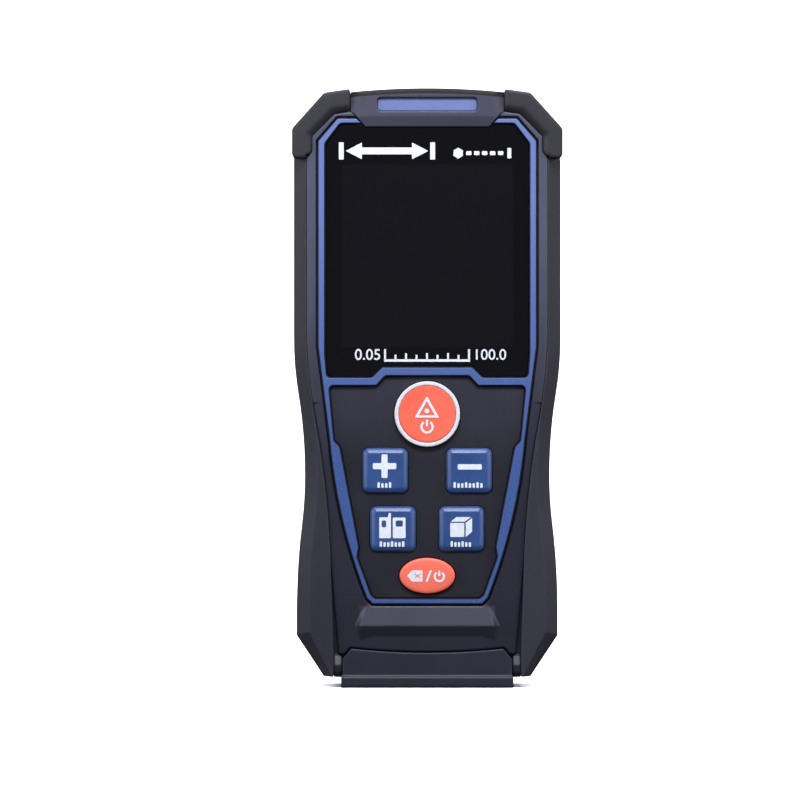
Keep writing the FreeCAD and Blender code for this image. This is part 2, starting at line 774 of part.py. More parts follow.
def bumper_outline(inset):
    """The corner armour seen from the front; the inset moves its inner side outwards."""
    gap = 0.05
    inner = under_bumper(gap)
    inset = as_size(inset)
    return [
        (inner[0][0] + 0.5 * inset, dims.bumper_foot),
        (dims.chest_half, dims.bumper_foot),
        (dims.bumper_half, dims.bumper_foot + 0.8),
        (dims.bumper_half, 113.8),
        (21.0, 121.1),
        (inner[4][0], dims.case_top - 0.15),
        (inner[4][0], inner[4][1] + inset),
        (inner[3][0] + 0.4 * inset, inner[3][1] + inset),
        (inner[2][0] + inset, inner[2][1] + 0.4 * inset),
        (inner[1][0] + inset, inner[1][1] - 0.4 * inset),
    ]


def under_channel():
    """The part of the core that the bumper wraps, seen from the front."""
    corner = under_bumper(0.05)[3]
    return [
        (22.0, 107.0),
        (dims.seam_half + 0.05, 107.0),
        (dims.seam_half + 0.05, 111.95),
        (19.55, 116.72),
        corner,
        (18.9, 112.0),
    ]


def make_bumper(label, side):
    """Raised armour over a top corner of the case, sloping down to the face on its inner side."""
    body = new_body(label)
    full = bumper_outline(0)
    narrow = bumper_outline(dims.bumper_slope)
    channel = under_channel()
    if side < 0:
        full = flipped(full)
        narrow = flipped(narrow)
        channel = flipped(channel)
    slope_fore = dims.bumper_fore - dims.bumper_slope_depth
    pad(body, "XZ_Plane", -slope_fore, slope_fore, outlines=[full])
    bevel(body, "XZ_Plane", slope_fore, full, dims.bumper_fore, narrow)
    bevel(body, "XZ_Plane", -slope_fore, full, -dims.bumper_fore, narrow)
    cut(body, "XZ_Plane", -dims.core_fore, dims.core_fore, outlines=[channel])


def make_top_brow():
    """The cover over the top centre of the face, with a recess for its inlay."""
    body = new_body("top_brow")
    half = brow_half_outline()
    outline = both_sides(half)
    outline[len(half)] = outline[len(half)] + (arch_radius(),)
    pad(body, "XZ_Plane", dims.bay_floor_fore + 0.02, dims.brow_fore, outlines=[outline])
    upper_half = [(dims.brow_half, 117.25), (dims.brow_half, dims.shoulder_top)]
    upper = both_sides(upper_half)
    upper[len(upper_half)] = upper[len(upper_half)] + (arch_radius(),)
    pad(body, "XZ_Plane", 8.5, dims.bay_floor_fore + 0.1, outlines=[upper])
    slope = [(-14.0, 114.0), (-dims.brow_fore, 116.3), (-16, 116.3), (-16, 114.0)]
    cut(body, "YZ_Plane", -20, 20, outlines=[slope])
    shoulder_slope = [(13.5, -dims.brow_fore), (dims.brow_half, -14.0), (15.8, -14.0), (15.8, -16), (13.5, -16)]
    right_end = cut(body, "XY_Plane", 113, 123, outlines=[shoulder_slope])
    mirror_left(body, right_end)
    recess = rectangle(-10.2, 10.2, 117.3, 120.15)
    cut(body, "XZ_Plane", 13.2, 16, outlines=[recess])
    fillet(body, 0.8, lambda edge: upright_to_face(edge) and edge.Length < 2.0
           and abs(edge.BoundBox.XMin) < 10.5 and edge.BoundBox.ZMin > 117.2)
    chamfer(body, 0.5, lambda edge: at_fore(dims.brow_fore.value)(edge) and edge.BoundBox.ZMin > 121)


def arch_radius():
    """The radius of the arch from its width and its rise."""
    rise = dims.case_top - dims.shoulder_top
    return dims.brow_half * dims.brow_half / (2 * rise) + rise / 2


def make_brow_inlay():
    """The blue inlay, set a little below the brow's face."""
    body = new_body("brow_inlay")
    pad(body, "XZ_Plane", 13.2, 14.15, outlines=[rectangle(-10.15, 10.15, 117.35, 120.1)])
    fillet(body, 0.75, upright_to_face)


def make_trim_frame():
    """The one-piece blue frame round window and keypad."""
    body = new_body("trim_frame")
    pad(body, "XZ_Plane", dims.bay_floor_fore, dims.frame_fore, outlines=[both_sides(frame_half_outline())])
    cut(body, "XZ_Plane", 12, 16, outlines=[both_sides(window_half_outline())])
    cut(body, "XZ_Plane", 12, 16, outlines=[both_sides(keypad_half_outline())])
    fillet(body, dims.trim_corner, upright_to_face)
    brow_gap = both_sides([(12.64, 114.1), (14.42, 116.2)])
    cut(body, "XZ_Plane", 12, 16, outlines=[brow_gap])


def make_display_window():
    """The glossy black window over the display."""
    body = new_body("display_window")
    pad(body, "XZ_Plane", dims.bay_floor_fore, dims.window_fore, outlines=[both_sides(window_glass_half())])
    fillet(body, dims.trim_corner, lambda edge: upright_to_face(edge) and abs(edge.BoundBox.XMin) > 15)


def make_keypad_panel():
    """The panel in front of the keys' flanges."""
    body = new_body("keypad_panel")
    panel = both_sides(keypad_half_outline(0.12))
    pad(body, "XZ_Plane", dims.bay_floor_fore, dims.panel_fore, outlines=[panel])
    fillet(body, dims.trim_corner, upright_to_face)
    squares = [square_key_outline(x, height, dims.key_gap) for x, height in SQUARE_KEYS.values()]
    ring = (0, dims.on_key_height, dims.on_ring_radius + dims.key_gap)
    oval = (0, dims.clear_key_height, dims.clear_key_long + dims.key_gap, dims.clear_key_short + dims.key_gap)
    cut(body, "XZ_Plane", 12, 14, outlines=squares, circles=[ring], ellipses=[oval])
    fillet(body, dims.key_corner + dims.key_gap, beside_a_square_key)


def make_top_cap():
    """The end plate round the optics, with bores for lens and laser."""
    body = new_body("top_cap")
    cap = rectangle(-dims.brow_half, dims.brow_half, 117.25, dims.shoulder_top)
    pad(body, "XZ_Plane", -dims.face_fore, 8.45, outlines=[cap])
    receiver = (dims.receiver_x, -dims.optics_fore, dims.lens_radius + 0.5)
    laser = (dims.laser_x, -dims.optics_fore, 3.5)
    cut(body, "XY_Plane", 117, 123, circles=[receiver, laser])
    chamfer(body, 1.2, lambda edge: edge.BoundBox.YMin > 13.8 and edge.BoundBox.ZMin > 121)


# ---------------------------------------------------------------- keys

def make_square_key(label, x, height):
    """A blue key with a flange that keeps it behind the panel."""
    body = new_body(label)
    pad(body, "XZ_Plane", 11.0, 11.8, outlines=[square_key_outline(x, height, dims.key_flange)])
    pad(body, "XZ_Plane", 11.8, dims.key_fore, outlines=[square_key_outline(x, height)])
    fillet(body, dims.key_corner, lambda edge: edge.BoundBox.YLength > 1.0)
    fillet(body, 0.8, at_fore(dims.key_fore.value))


def make_on_key():
    """The orange on key, a low round dish on a wide flange."""
    body = new_body("on_key")
    radius = dims.on_key_radius
    flange = dims.on_ring_radius + dims.key_flange
    pad(body, "XZ_Plane", 11.0, 11.8, circles=[(0, dims.on_key_height, flange)])
    pad(body, "XZ_Plane", 11.8, dims.round_key_fore, circles=[(0, dims.on_key_height, radius)])
    fillet(body, 0.3, at_fore(dims.round_key_fore.value))


def make_on_key_ring():
    """The white ring moulded round the on key."""
    body = new_body("on_key_ring")
    rings = [(0, dims.on_key_height, dims.on_ring_radius), (0, dims.on_key_height, dims.on_key_radius)]
    pad(body, "XZ_Plane", 11.8, dims.round_key_fore - 0.2, circles=rings)
    fillet(body, 0.25, at_fore(dims.round_key_fore.value - 0.2))


def make_clear_key():
    """The oval orange key."""
    body = new_body("clear_key")
    oval = (0, dims.clear_key_height, dims.clear_key_long, dims.clear_key_short)
    wide = oval[:2] + (oval[2] + dims.key_flange, oval[3] + dims.key_flange)
    pad(body, "XZ_Plane", 11.0, 11.8, ellipses=[wide])
    pad(body, "XZ_Plane", 11.8, dims.round_key_fore - 0.1, ellipses=[oval])
    fillet(body, 0.4, at_fore(dims.round_key_fore.value - 0.1))


def make_keypad_mat():
    """The silicone mat, raised under each key and pocketed for the snap domes."""
    body = new_body("keypad_mat")
    pad(body, "XZ_Plane", dims.board_front, 9.4, outlines=[rectangle(-14.4, 14.4, 17.6, 64.0)])
    places = list(SQUARE_KEYS.values()) + [(0, dims.on_key_height), (0, dims.clear_key_height)]
    pad(body, "XZ_Plane", 9.4, 10.0, circles=[(x, height, 2.6) for x, height in places])
    cut(body, "XZ_Plane", 8.0, 9.1, circles=[(x, height, 2.8) for x, height in places])


def make_snap_domes():
    """Six metal snap discs on the main board, one behind each key."""
    places = list(SQUARE_KEYS.values()) + [(0, dims.on_key_height), (0, dims.clear_key_height)]
    discs = []
    for index, (x, height) in enumerate(places):
        disc = cylinder(f"dome_{index}", "back", x, dims.board_front + 0.35, height, 2.5, 0.35)
        discs.append(disc)
    finished(joined("snap_domes", discs), "snap_domes")


# ---------------------------------------------------------------- bracket

def make_end_bracket():
    """The flip-out bracket: foot plate, front tab and hinge barrel in one piece."""
    body = new_body("end_bracket")
    tab_front = -14.4
    tab_back = -12.8
    axis_y = -dims.hinge_fore
    barrel = dims.hinge_height
    profile = [
        (axis_y, 0),
        (axis_y + barrel, barrel, barrel),
        (axis_y, 2 * barrel, barrel),
        (axis_y - barrel, barrel, barrel),
        (axis_y - barrel_reach(), dims.bracket_plate, barrel),
        (tab_back, dims.bracket_plate),
        (tab_back, 8.0),
        (tab_front, 8.0),
        (tab_front, 0),
    ]
    half = dims.bracket_half
    pad(body, "YZ_Plane", -half, half, outlines=[profile])
    lip = [(tab_back, 0), (tab_back, 1.75), (tab_front + 0.1, 2.6), (-14.9, 2.1), (-14.9, 0.35), (-14.55, 0)]
    pad(body, "YZ_Plane", -17.55, 17.55, outlines=[lip])
    dip = [(17.3, 5.7), (17.3, 8.1), (-17.3, 8.1), (-17.3, 5.7), (-15.5, 7.95), (15.5, 7.95, 141.0)]
    cut(body, "XZ_Plane", 12.6, 15.2, outlines=[dip])
    bore = (axis_y, dims.hinge_height, dims.hinge_pin_radius + 0.06)
    cut(body, "YZ_Plane", -18, 18, circles=[bore])


def barrel_reach():
    """How far behind the tab's side of the axis the barrel meets the top of the plate."""
    radius = dims.hinge_height
    drop = dims.hinge_height - dims.bracket_plate
    square = radius * radius - drop * drop
    return Size(math.sqrt(square.value), f"sqrt({square.formula})")


def make_bracket_hinge_pin():
    """The steel pin through the case's lugs and the bracket's barrel."""
    pin = cylinder("hinge_bar", "right", -18.9, dims.hinge_fore, dims.hinge_height, dims.hinge_pin_radius, 37.8)
    finished(pin, "bracket_hinge_pin")


# ---------------------------------------------------------------- battery

def make_battery_cover():
    """The battery door with its thumb catch and two ribs that hold the cells."""
    body = new_body("battery_cover")
    pad(body, "XZ_Plane", -dims.face_fore, -12.4, outlines=[rectangle(-13.15, 13.15, 10.05, 63.15)])
    fillet(body, 1.0, upright_to_face)
    ribs = [rectangle(-9.5, 9.5, height, height + 1.2) for height in (22, 36, 50)]
    pad(body, "XZ_Plane", -12.4, -11.95, outlines=ribs)
    thumb = [(-5, 57.2), (5, 57.2), (5, 61), (-5, 61)]
    cut(body, "XZ_Plane", -16, -13.3, outlines=[thumb])
    grooves = [rectangle(-4.2, 4.2, 57.8 + 1.1 * step, 58.3 + 1.1 * step) for step in range(3)]
    cut(body, "XZ_Plane", -16, -13.0, outlines=grooves)


def make_battery(label, side, nub_up):
    """An AAA cell; the two cells lie head to tail."""
    foot = dims.battery_foot
    can = cylinder(f"{label}_can", "up", side * dims.battery_x, dims.battery_fore, foot,
                   dims.battery_radius, dims.battery_length)
    nub_foot = foot + dims.battery_length if nub_up else foot - 0.8
    nub = cylinder(f"{label}_nub", "up", side * dims.battery_x, dims.battery_fore, nub_foot, 1.9, 0.8)
    finished(joined(label, [can, nub]), label)


def make_battery_springs():
    """The two spring contacts, drawn squeezed flat as low cones."""
    cones = []
    for index, (side, top) in enumerate(((-1, False), (1, True))):
        cone = document.addObject("Part::Cone", f"spring_{index}")
        bind(cone, "Radius1", 3.4 if not top else 1.8)
        bind(cone, "Radius2", 1.8 if not top else 3.4)
        bind(cone, "Height", 2.6 if not top else 0.8)
        bind(cone, "Placement.Base.x", side * dims.battery_x)
        bind(cone, "Placement.Base.y", -dims.battery_fore)
        low = dims.battery_foot - 3.0 if not top else dims.battery_foot + dims.battery_length + 0.15
        bind(cone, "Placement.Base.z", low)
        cones.append(cone)
    finished(joined("battery_springs", cones), "battery_springs")


def make_battery_contacts():
    """The contact plates at both ends of the bay."""
    low = box("contact_low", -10.8, 10.8, -10.4, -2.8, 11.55, 11.95)
    high = box("contact_high", -10.8, 10.8, -10.4, -2.8, 59.95, 60.35)
    finished(joined("battery_contacts", [low, high]), "battery_contacts")


# ---------------------------------------------------------------- electronics and optics

def make_main_board():
    """The main circuit board, with holes for its screws."""
    body = new_body("main_board")
    back = dims.board_front - dims.board_thickness
    pad(body, "XZ_Plane", back, dims.board_front, outlines=[rectangle(-19.4, 19.4, 17.2, 107.5)])
    cut(body, "XZ_Plane", 7, 9, circles=rounds(BOARD_SCREW_PLACES, 0.9))
    chips = [rectangle(-7, 3, 82, 92), rectangle(8, 15, 74, 80), rectangle(-15, -10, 76, 82)]
    pad(body, "XZ_Plane", back - 1.2, back + 0.01, outlines=chips)


def make_beeper():
    """The round beeper on the back of the board."""
    back = dims.board_front - dims.board_thickness
    drum = cylinder("beeper_drum", "back", 14.2, back, 98, 4.0, 2.4)
    finished(drum, "beeper")


def make_lcd_module():
    """The liquid crystal cell behind the window."""
    body = new_body("lcd_module")
    pad(body, "XZ_Plane", 9.8, 12.1, outlines=[rectangle(-18.1, 18.1, 68.9, 106.9)])


def make_lcd_holder():
    """The frame that holds the display cell off the board."""
    body = new_body("lcd_holder")
    rings = [rectangle(-19.3, 19.3, 67.4, 107.8), rectangle(-16.6, 16.6, 70.4, 105.4)]
    pad(body, "XZ_Plane", dims.board_front, 9.8, outlines=rings)


def make_display_flex():
    """The flat ribbon from the display cell to the board."""
    ribbon = box("flex_strip", -8, 8, dims.board_front + 0.05, 9.75, 70.5, 74)
    finished(ribbon, "display_flex")


def make_optics_block():
    """The moulded block that carries lens, laser and sensor."""
    body = new_body("optics_block")
    pad(body, "XZ_Plane", -10.3, 5.0, outlines=[rectangle(-12.9, 14.1, 75, 117.1)])
    receiver = (dims.receiver_x, -dims.optics_fore)
    cut(body, "XY_Plane", 110, 118, circles=[receiver + (dims.lens_radius + 0.08,)])
    cut(body, "XY_Plane", 84, 111, circles=[receiver + (dims.lens_radius - 1.2,)])
    laser = (dims.laser_x, -dims.optics_fore)
    cut(body, "XY_Plane", 92, 118, circles=[laser + (3.2,)])
    chamfer(body, 2.0, lambda edge: edge.BoundBox.ZMax < 75.1 and edge.BoundBox.XLength > 20)


def make_receiver_lens():
    """The plano-convex receiver lens: where a large ball and a disc overlap."""
    dome = 2.2
    edge = 2.8
    foot = 112.0
    square = dims.lens_radius * dims.lens_radius
    ball_radius = square / (2 * as_size(dome)) + dome / 2
    ball = document.addObject("Part::Sphere", "lens_ball")
    bind(ball, "Radius", ball_radius)
    bind(ball, "Placement.Base.x", dims.receiver_x)
    bind(ball, "Placement.Base.y", -dims.optics_fore)
    bind(ball, "Placement.Base.z", foot + edge + dome - ball_radius)
    disc = cylinder("lens_disc", "up", dims.receiver_x, dims.optics_fore, foot, dims.lens_radius, edge + dome + 1)
    lens = document.addObject("Part::Common", "lens")
    lens.Base = ball
    lens.Tool = disc
    finished(lens, "receiver_lens")


def make_lens_ring():
    """The black ring round the receiver lens."""
    body = new_body("lens_ring")
    centre = (dims.receiver_x, -dims.optics_fore)
    pad(body, "XY_Plane", 117.3, 120.6, circles=[centre + (dims.lens_radius + 0.45,), centre + (dims.lens_radius - 0.4,)])


def make_emitter_window():
    """The clear window in front of the laser."""
    pane = cylinder("emitter_pane", "up", dims.laser_x, dims.optics_fore, 119.2, 3.4, 1.0)
    finished(pane, "emitter_window")


def make_laser_module():
    """The brass laser tube in its bore."""
    body = new_body("laser_module")
    centre = (dims.laser_x, -dims.optics_fore)
    pad(body, "XY_Plane", 92.1, 113, circles=[centre + (3.15,)])
    cut(body, "XY_Plane", 100, 114, circles=[centre + (2.4,)])
    pad(body, "XY_Plane", 92.1, 100.1, circles=[centre + (3.15,)])


def make_collimator_lens():
    """The small lens at the end of the laser tube."""
    glass = cylinder("collimator_glass", "up", dims.laser_x, dims.optics_fore, 109, 2.35, 2.2)
    finished(glass, "collimator_lens")


def make_receiver_sensor():
    """The photodiode in its can on the floor of the optics tube."""
    can = cylinder("sensor_can", "up", dims.receiver_x, dims.optics_fore, 84.05, 2.7, 2.4)
    carrier = box("sensor_carrier", dims.receiver_x - 3.6, dims.receiver_x + 3.6,
                  dims.optics_fore - 3, dims.optics_fore + 3, 84.02, 84.9)
    finished(joined("receiver_sensor", [carrier, can]), "receiver_sensor")


# ---------------------------------------------------------------- hardware

def make_shell_gasket():
    """The seal in the parting plane."""
    body = new_body("shell_gasket")
    rings = [both_sides(core_half(0.55)[3:]), both_sides(core_half(1.25)[3:])]
    pad(body, "XZ_Plane", -0.3, 0.3, outlines=rings)
    cut(body, "XZ_Plane", -1, 1, outlines=[rectangle(-13.4, 14.6, 114, 118)])


def make_tripod_insert():
    """The brass insert with the tripod thread, flush in the back."""
    body = new_body("tripod_insert")
    rings = [(0, dims.tripod_height, 4.48), (0, dims.tripod_height, dims.tripod_radius)]
    pad(body, "XZ_Plane", -dims.face_fore, -7.2, circles=rings)


def make_screws(label, places, head_fore, head_radius, shank_radius, shank_length):
    """A group of identical pan-head screws with their heads towards the back."""
    head_length = 1.1
    pieces = []
    for index, (x, height) in enumerate(places):
        under_head = head_fore + head_length
        head = cylinder(f"{label}_head_{index}", "back", x, under_head, height, head_radius, head_length)
        shank_end = under_head + shank_length
        shank = cylinder(f"{label}_shank_{index}", "back", x, shank_end, height, shank_radius, shank_length)
        pieces.append(head)
        pieces.append(shank)
    finished(joined(label, pieces), label)


def make_rear_label():
    """The blank rating plate on the back."""
    plate = box("label_plate", -14.85, 14.85, -dims.face_fore + 0.02, -13.5, 78.15, 107.85)
    finished(plate, "rear_label")


def make_everything():
    make_front_shell()
    make_rear_shell()
    make_grip("left_grip", -1)
    make_grip("right_grip", 1)
    make_bumper("left_bumper", -1)
    make_bumper("right_bumper", 1)
    make_top_brow()
    make_brow_inlay()
    make_trim_frame()
    make_display_window()
    make_keypad_panel()
    make_top_cap()
    for label, (x, height) in SQUARE_KEYS.items():
        make_square_key(label, x, height)
    make_on_key()
    make_on_key_ring()
    make_clear_key()
    make_keypad_mat()
    make_snap_domes()
    make_end_bracket()
    make_bracket_hinge_pin()
    make_battery_cover()
    make_battery("battery_1", -1, True)
    make_battery("battery_2", 1, False)
    make_battery_springs()
    make_battery_contacts()
    make_main_board()
    make_beeper()
    make_lcd_module()
    make_lcd_holder()
    make_display_flex()
    make_optics_block()
    make_receiver_lens()
    make_lens_ring()
    make_emitter_window()
    make_laser_module()
    make_collimator_lens()
    make_receiver_sensor()
    make_shell_gasket()
    make_tripod_insert()
    make_screws("housing_screws", SCREW_PLACES, -12.9, 1.65, dims.screw_radius, 17.0)
    make_screws("board_screws", BOARD_SCREW_PLACES, 6.5, 1.5, 0.65, 3.4)
    make_rear_label()


def check_everything():
    """Stops unless every feature computed and every sub-part is a valid shape."""
    document.recompute()
    for item in document.Objects:
        if "Invalid" in item.State or "Error" in item.State:
            raise RuntimeError(f"{item.Label} failed: {item.State}")
    for item in sub_parts:
        if item.Shape.isNull() or not item.Shape.isValid() or not item.Shape.Solids:
            raise RuntimeError(f"{item.Label} has no valid solid")


def write_everything():
    os.makedirs("parts", exist_ok=True)
    for item in sub_parts:
        item.Shape.exportStep(os.path.join("parts", f"{item.Label}.step"))
        print(item.Label, len(item.Shape.Solids), round(item.Shape.Volume, 1))


make_everything()
check_everything()
write_everything()
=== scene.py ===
import json
import math

import bmesh
import bpy
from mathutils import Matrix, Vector


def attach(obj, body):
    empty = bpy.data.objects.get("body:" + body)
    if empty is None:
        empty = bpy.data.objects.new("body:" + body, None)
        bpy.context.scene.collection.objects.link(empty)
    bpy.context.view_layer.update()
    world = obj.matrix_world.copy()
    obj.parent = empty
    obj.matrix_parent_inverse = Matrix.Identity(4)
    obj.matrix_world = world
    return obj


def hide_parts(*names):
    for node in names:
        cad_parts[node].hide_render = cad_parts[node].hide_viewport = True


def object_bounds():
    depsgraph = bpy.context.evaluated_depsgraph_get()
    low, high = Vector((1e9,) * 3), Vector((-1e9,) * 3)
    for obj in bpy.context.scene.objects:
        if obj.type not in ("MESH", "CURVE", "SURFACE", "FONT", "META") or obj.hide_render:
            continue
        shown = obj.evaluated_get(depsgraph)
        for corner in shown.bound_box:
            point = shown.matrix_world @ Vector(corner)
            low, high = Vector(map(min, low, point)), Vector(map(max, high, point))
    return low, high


# Looks of a handheld laser distance meter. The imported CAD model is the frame: the body parts are its
# nodes with soft edges and new materials, and the keys, marks and small parts are made here. The scene
# is in metres, +Z is up and the face looks along -Y. Shapes are drawn in millimetres, as x and z seen
# from the front, and MM turns them into metres. "Fore" is the distance in front of the middle plane.

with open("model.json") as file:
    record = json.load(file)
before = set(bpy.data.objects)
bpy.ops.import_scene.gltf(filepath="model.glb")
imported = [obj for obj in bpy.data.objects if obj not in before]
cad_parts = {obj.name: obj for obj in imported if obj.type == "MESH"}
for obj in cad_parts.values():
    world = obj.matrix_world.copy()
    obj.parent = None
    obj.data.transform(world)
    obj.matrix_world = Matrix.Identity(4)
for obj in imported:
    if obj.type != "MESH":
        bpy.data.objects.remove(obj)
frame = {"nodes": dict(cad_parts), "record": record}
nodes = frame["nodes"]
cad_low, cad_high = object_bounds()

MM = 0.001

# Where the keys are, and how far fore the faces with marks are.
UPPER_KEY_X = 8.54
UPPER_KEY_HEIGHT = 44.2
LOWER_KEY_X = 6.97
LOWER_KEY_HEIGHT = 32.3
ON_KEY_HEIGHT = 55.7
CLEAR_KEY_HEIGHT = 22.8
KEY_FOOT_FORE = 12.6
KEY_FACE_FORE = 14.31
ON_KEY_FACE_FORE = 14.42
CLEAR_KEY_FACE_FORE = 14.44
WINDOW_FORE = 13.7
PRINT_THICKNESS = 0.03

# How far behind the middle plane these surfaces of the back are, and what is on it.
LABEL_BACK = 13.88
DOOR_BACK = 13.9
SCREW_BACK = 12.9
TRIPOD_HEIGHT = 68.0
SCREW_PLACES = ((-18.6, 111.4), (18.6, 111.4), (-15.6, 13.4), (15.6, 13.4))


# ---------------------------------------------------------------- colours

def srgb(red, green, blue):
    """A display colour from 0 to 255 as linear light."""
    def linear(part):
        part = part / 255
        return part / 12.92 if part <= 0.04045 else ((part + 0.055) / 1.055) ** 2.4
    return (linear(red), linear(green), linear(blue), 1.0)


def scaled(colour, factor):
    """The same colour, darker or lighter."""
    return tuple(min(1.0, part * factor) for part in colour[:3]) + (1.0,)


# ---------------------------------------------------------------- node graphs

class Graph:
    """A material's node tree with short ways to add and join nodes."""

    def __init__(self, name):
        self.material = bpy.data.materials.new(name)
        self.material.use_nodes = True
        self.tree = self.material.node_tree
        self.shader = self.tree.nodes["Principled BSDF"]
        self.place = self.add("ShaderNodeTexCoord").outputs["Object"]

    def add(self, kind, **settings):
        """Adds a node and sets its options."""
        made = self.tree.nodes.new(kind)
        for name, value in settings.items():
            setattr(made, name, value)
        return made

    def feed(self, socket, value):
        """Links a socket, or sets its number or colour."""
        if isinstance(value, bpy.types.NodeSocket):
            self.tree.links.new(value, socket)
        else:
            socket.default_value = value

    def math(self, operation, first, second=0.0):
        """A sum, product or other operation on two numbers or sockets."""
        made = self.add("ShaderNodeMath", operation=operation)
        self.feed(made.inputs[0], first)
        self.feed(made.inputs[1], second)
        return made.outputs[0]

    def scaled_place(self, factors):
        """The place on the object, squeezed or stretched along each axis."""
        made = self.add("ShaderNodeMapping")
        self.feed(made.inputs["Vector"], self.place)
        made.inputs["Scale"].default_value = factors
        return made.outputs["Vector"]

    def noise(self, size, detail=2.0, roughness=0.5, stretch=None):
        """Noise whose features are about this size in metres."""
        made = self.add("ShaderNodeTexNoise")
        self.feed(made.inputs["Vector"], self.scaled_place(stretch) if stretch else self.place)
        made.inputs["Scale"].default_value = 1 / size
        made.inputs["Detail"].default_value = detail
        made.inputs["Roughness"].default_value = roughness
        return made.outputs["Fac"]

    def cells(self, size):
        """Distance to the nearest of many scattered points, this far apart."""
        made = self.add("ShaderNodeTexVoronoi")
        self.feed(made.inputs["Vector"], self.place)
        made.inputs["Scale"].default_value = 1 / size
        return made.outputs["Distance"]

    def ramp(self, value, low, high, start=0.0, end=1.0, smooth=False):
        """Maps a value from one range to another, without overshoot."""
        made = self.add("ShaderNodeMapRange")
        if smooth:
            made.interpolation_type = "SMOOTHSTEP"
        self.feed(made.inputs["Value"], value)
        self.feed(made.inputs["From Min"], low)
        self.feed(made.inputs["From Max"], high)
        self.feed(made.inputs["To Min"], start)
        self.feed(made.inputs["To Max"], end)
        return made.outputs["Result"]

    def mix(self, factor, first, second):
        """A colour between two others."""
        made = self.add("ShaderNodeMix", data_type="RGBA")
        self.feed(made.inputs["Factor"], factor)
        self.feed(made.inputs[6], first)
        self.feed(made.inputs[7], second)
        return made.outputs[2]

    def shade(self, colour, factor):
        """A colour, or a colour socket, made darker or lighter."""
        if not isinstance(colour, bpy.types.NodeSocket):
            return scaled(colour, factor)
        made = self.add("ShaderNodeVectorMath", operation="SCALE")
        self.feed(made.inputs[0], colour)
        made.inputs["Scale"].default_value = factor
        return made.outputs[0]

    def axis(self, name, source=None):
        """One part, X, Y or Z, of the place on the object or of another vector."""
        made = self.add("ShaderNodeSeparateXYZ")
        self.feed(made.inputs[0], source or self.place)
        return made.outputs[name]

    def facing_front(self):
        """1 where the surface faces the front or back, 0 where it faces sideways, up or down."""
        normal = self.add("ShaderNodeNewGeometry").outputs["Normal"]
        return self.math("ABSOLUTE", self.axis("Y", normal))

    def rounded_normal(self, radius):
        """The normal of the surface as if its edges had this radius."""
        made = self.add("ShaderNodeBevel", samples=6)
        made.inputs["Radius"].default_value = radius
        return made.outputs["Normal"]

    def edges(self, rounded):
        """About 1 along sharp edges, 0 on flat faces."""
        true_normal = self.add("ShaderNodeNewGeometry").outputs["Normal"]
        alike = self.add("ShaderNodeVectorMath", operation="DOT_PRODUCT")
        self.feed(alike.inputs[0], rounded)
        self.feed(alike.inputs[1], true_normal)
        return self.ramp(alike.outputs["Value"], 1.0, 0.86)

    def bump(self, height, depth, base=None):
        """The normal of a surface with this height pattern, this deep in metres."""
        made = self.add("ShaderNodeBump")
        made.inputs["Strength"].default_value = 1.0
        made.inputs["Distance"].default_value = depth
        self.feed(made.inputs["Height"], height)
        if base is not None:
            self.feed(made.inputs["Normal"], base)
        return made.outputs["Normal"]

    def finish(self, colour, roughness, normal=None, **constants):
        """Joins the results to the shader; an underscore in a constant's name stands for a space."""
        self.feed(self.shader.inputs["Base Color"], colour)
        self.feed(self.shader.inputs["Roughness"], roughness)
        if normal is not None:
            self.feed(self.shader.inputs["Normal"], normal)
        for name, value in constants.items():
            self.shader.inputs[name.replace("_", " ")].default_value = value
        return self.material


# ---------------------------------------------------------------- materials

def moulded(name, colour, roughness, wear_and_edge_highlight=0.3, radius=0.35):
    """Moulded plastic: fine spark-eroded grain, faint clouding and soft edges, worn and slightly polished
    in patches; those patches are lighter, partly from wear and partly as a painted highlight.
    """
    g = Graph(name)
    cloud = g.noise(0.014, 3)
    speck = g.noise(0.00025, 2)
    rounded = g.rounded_normal(radius * MM)
    edge = g.edges(rounded)
    scuff_and_highlight = g.math("MULTIPLY", edge, g.ramp(g.noise(0.0016, 4), 0.42, 0.62, 0.25, 1.0))
    tone = g.mix(g.ramp(cloud, 0.3, 0.7), scaled(colour, 0.9), scaled(colour, 1.1))
    tone = g.mix(g.ramp(speck, 0.35, 0.65, 0.0, 0.2), tone, scaled(colour, 1.35))
    # Lighter in patches along the edges: partly real wear, partly a painted highlight.
    tone = g.mix(g.math("MULTIPLY", scuff_and_highlight, wear_and_edge_highlight), tone, scaled(colour, 1.9))
    rough = g.ramp(cloud, 0.25, 0.75, roughness - 0.04, roughness + 0.04)
    rough = g.math("SUBTRACT", rough, g.math("MULTIPLY", scuff_and_highlight, 0.12))
    return g.finish(tone, rough, g.bump(speck, 0.000012, rounded), Specular_IOR_Level=0.5)


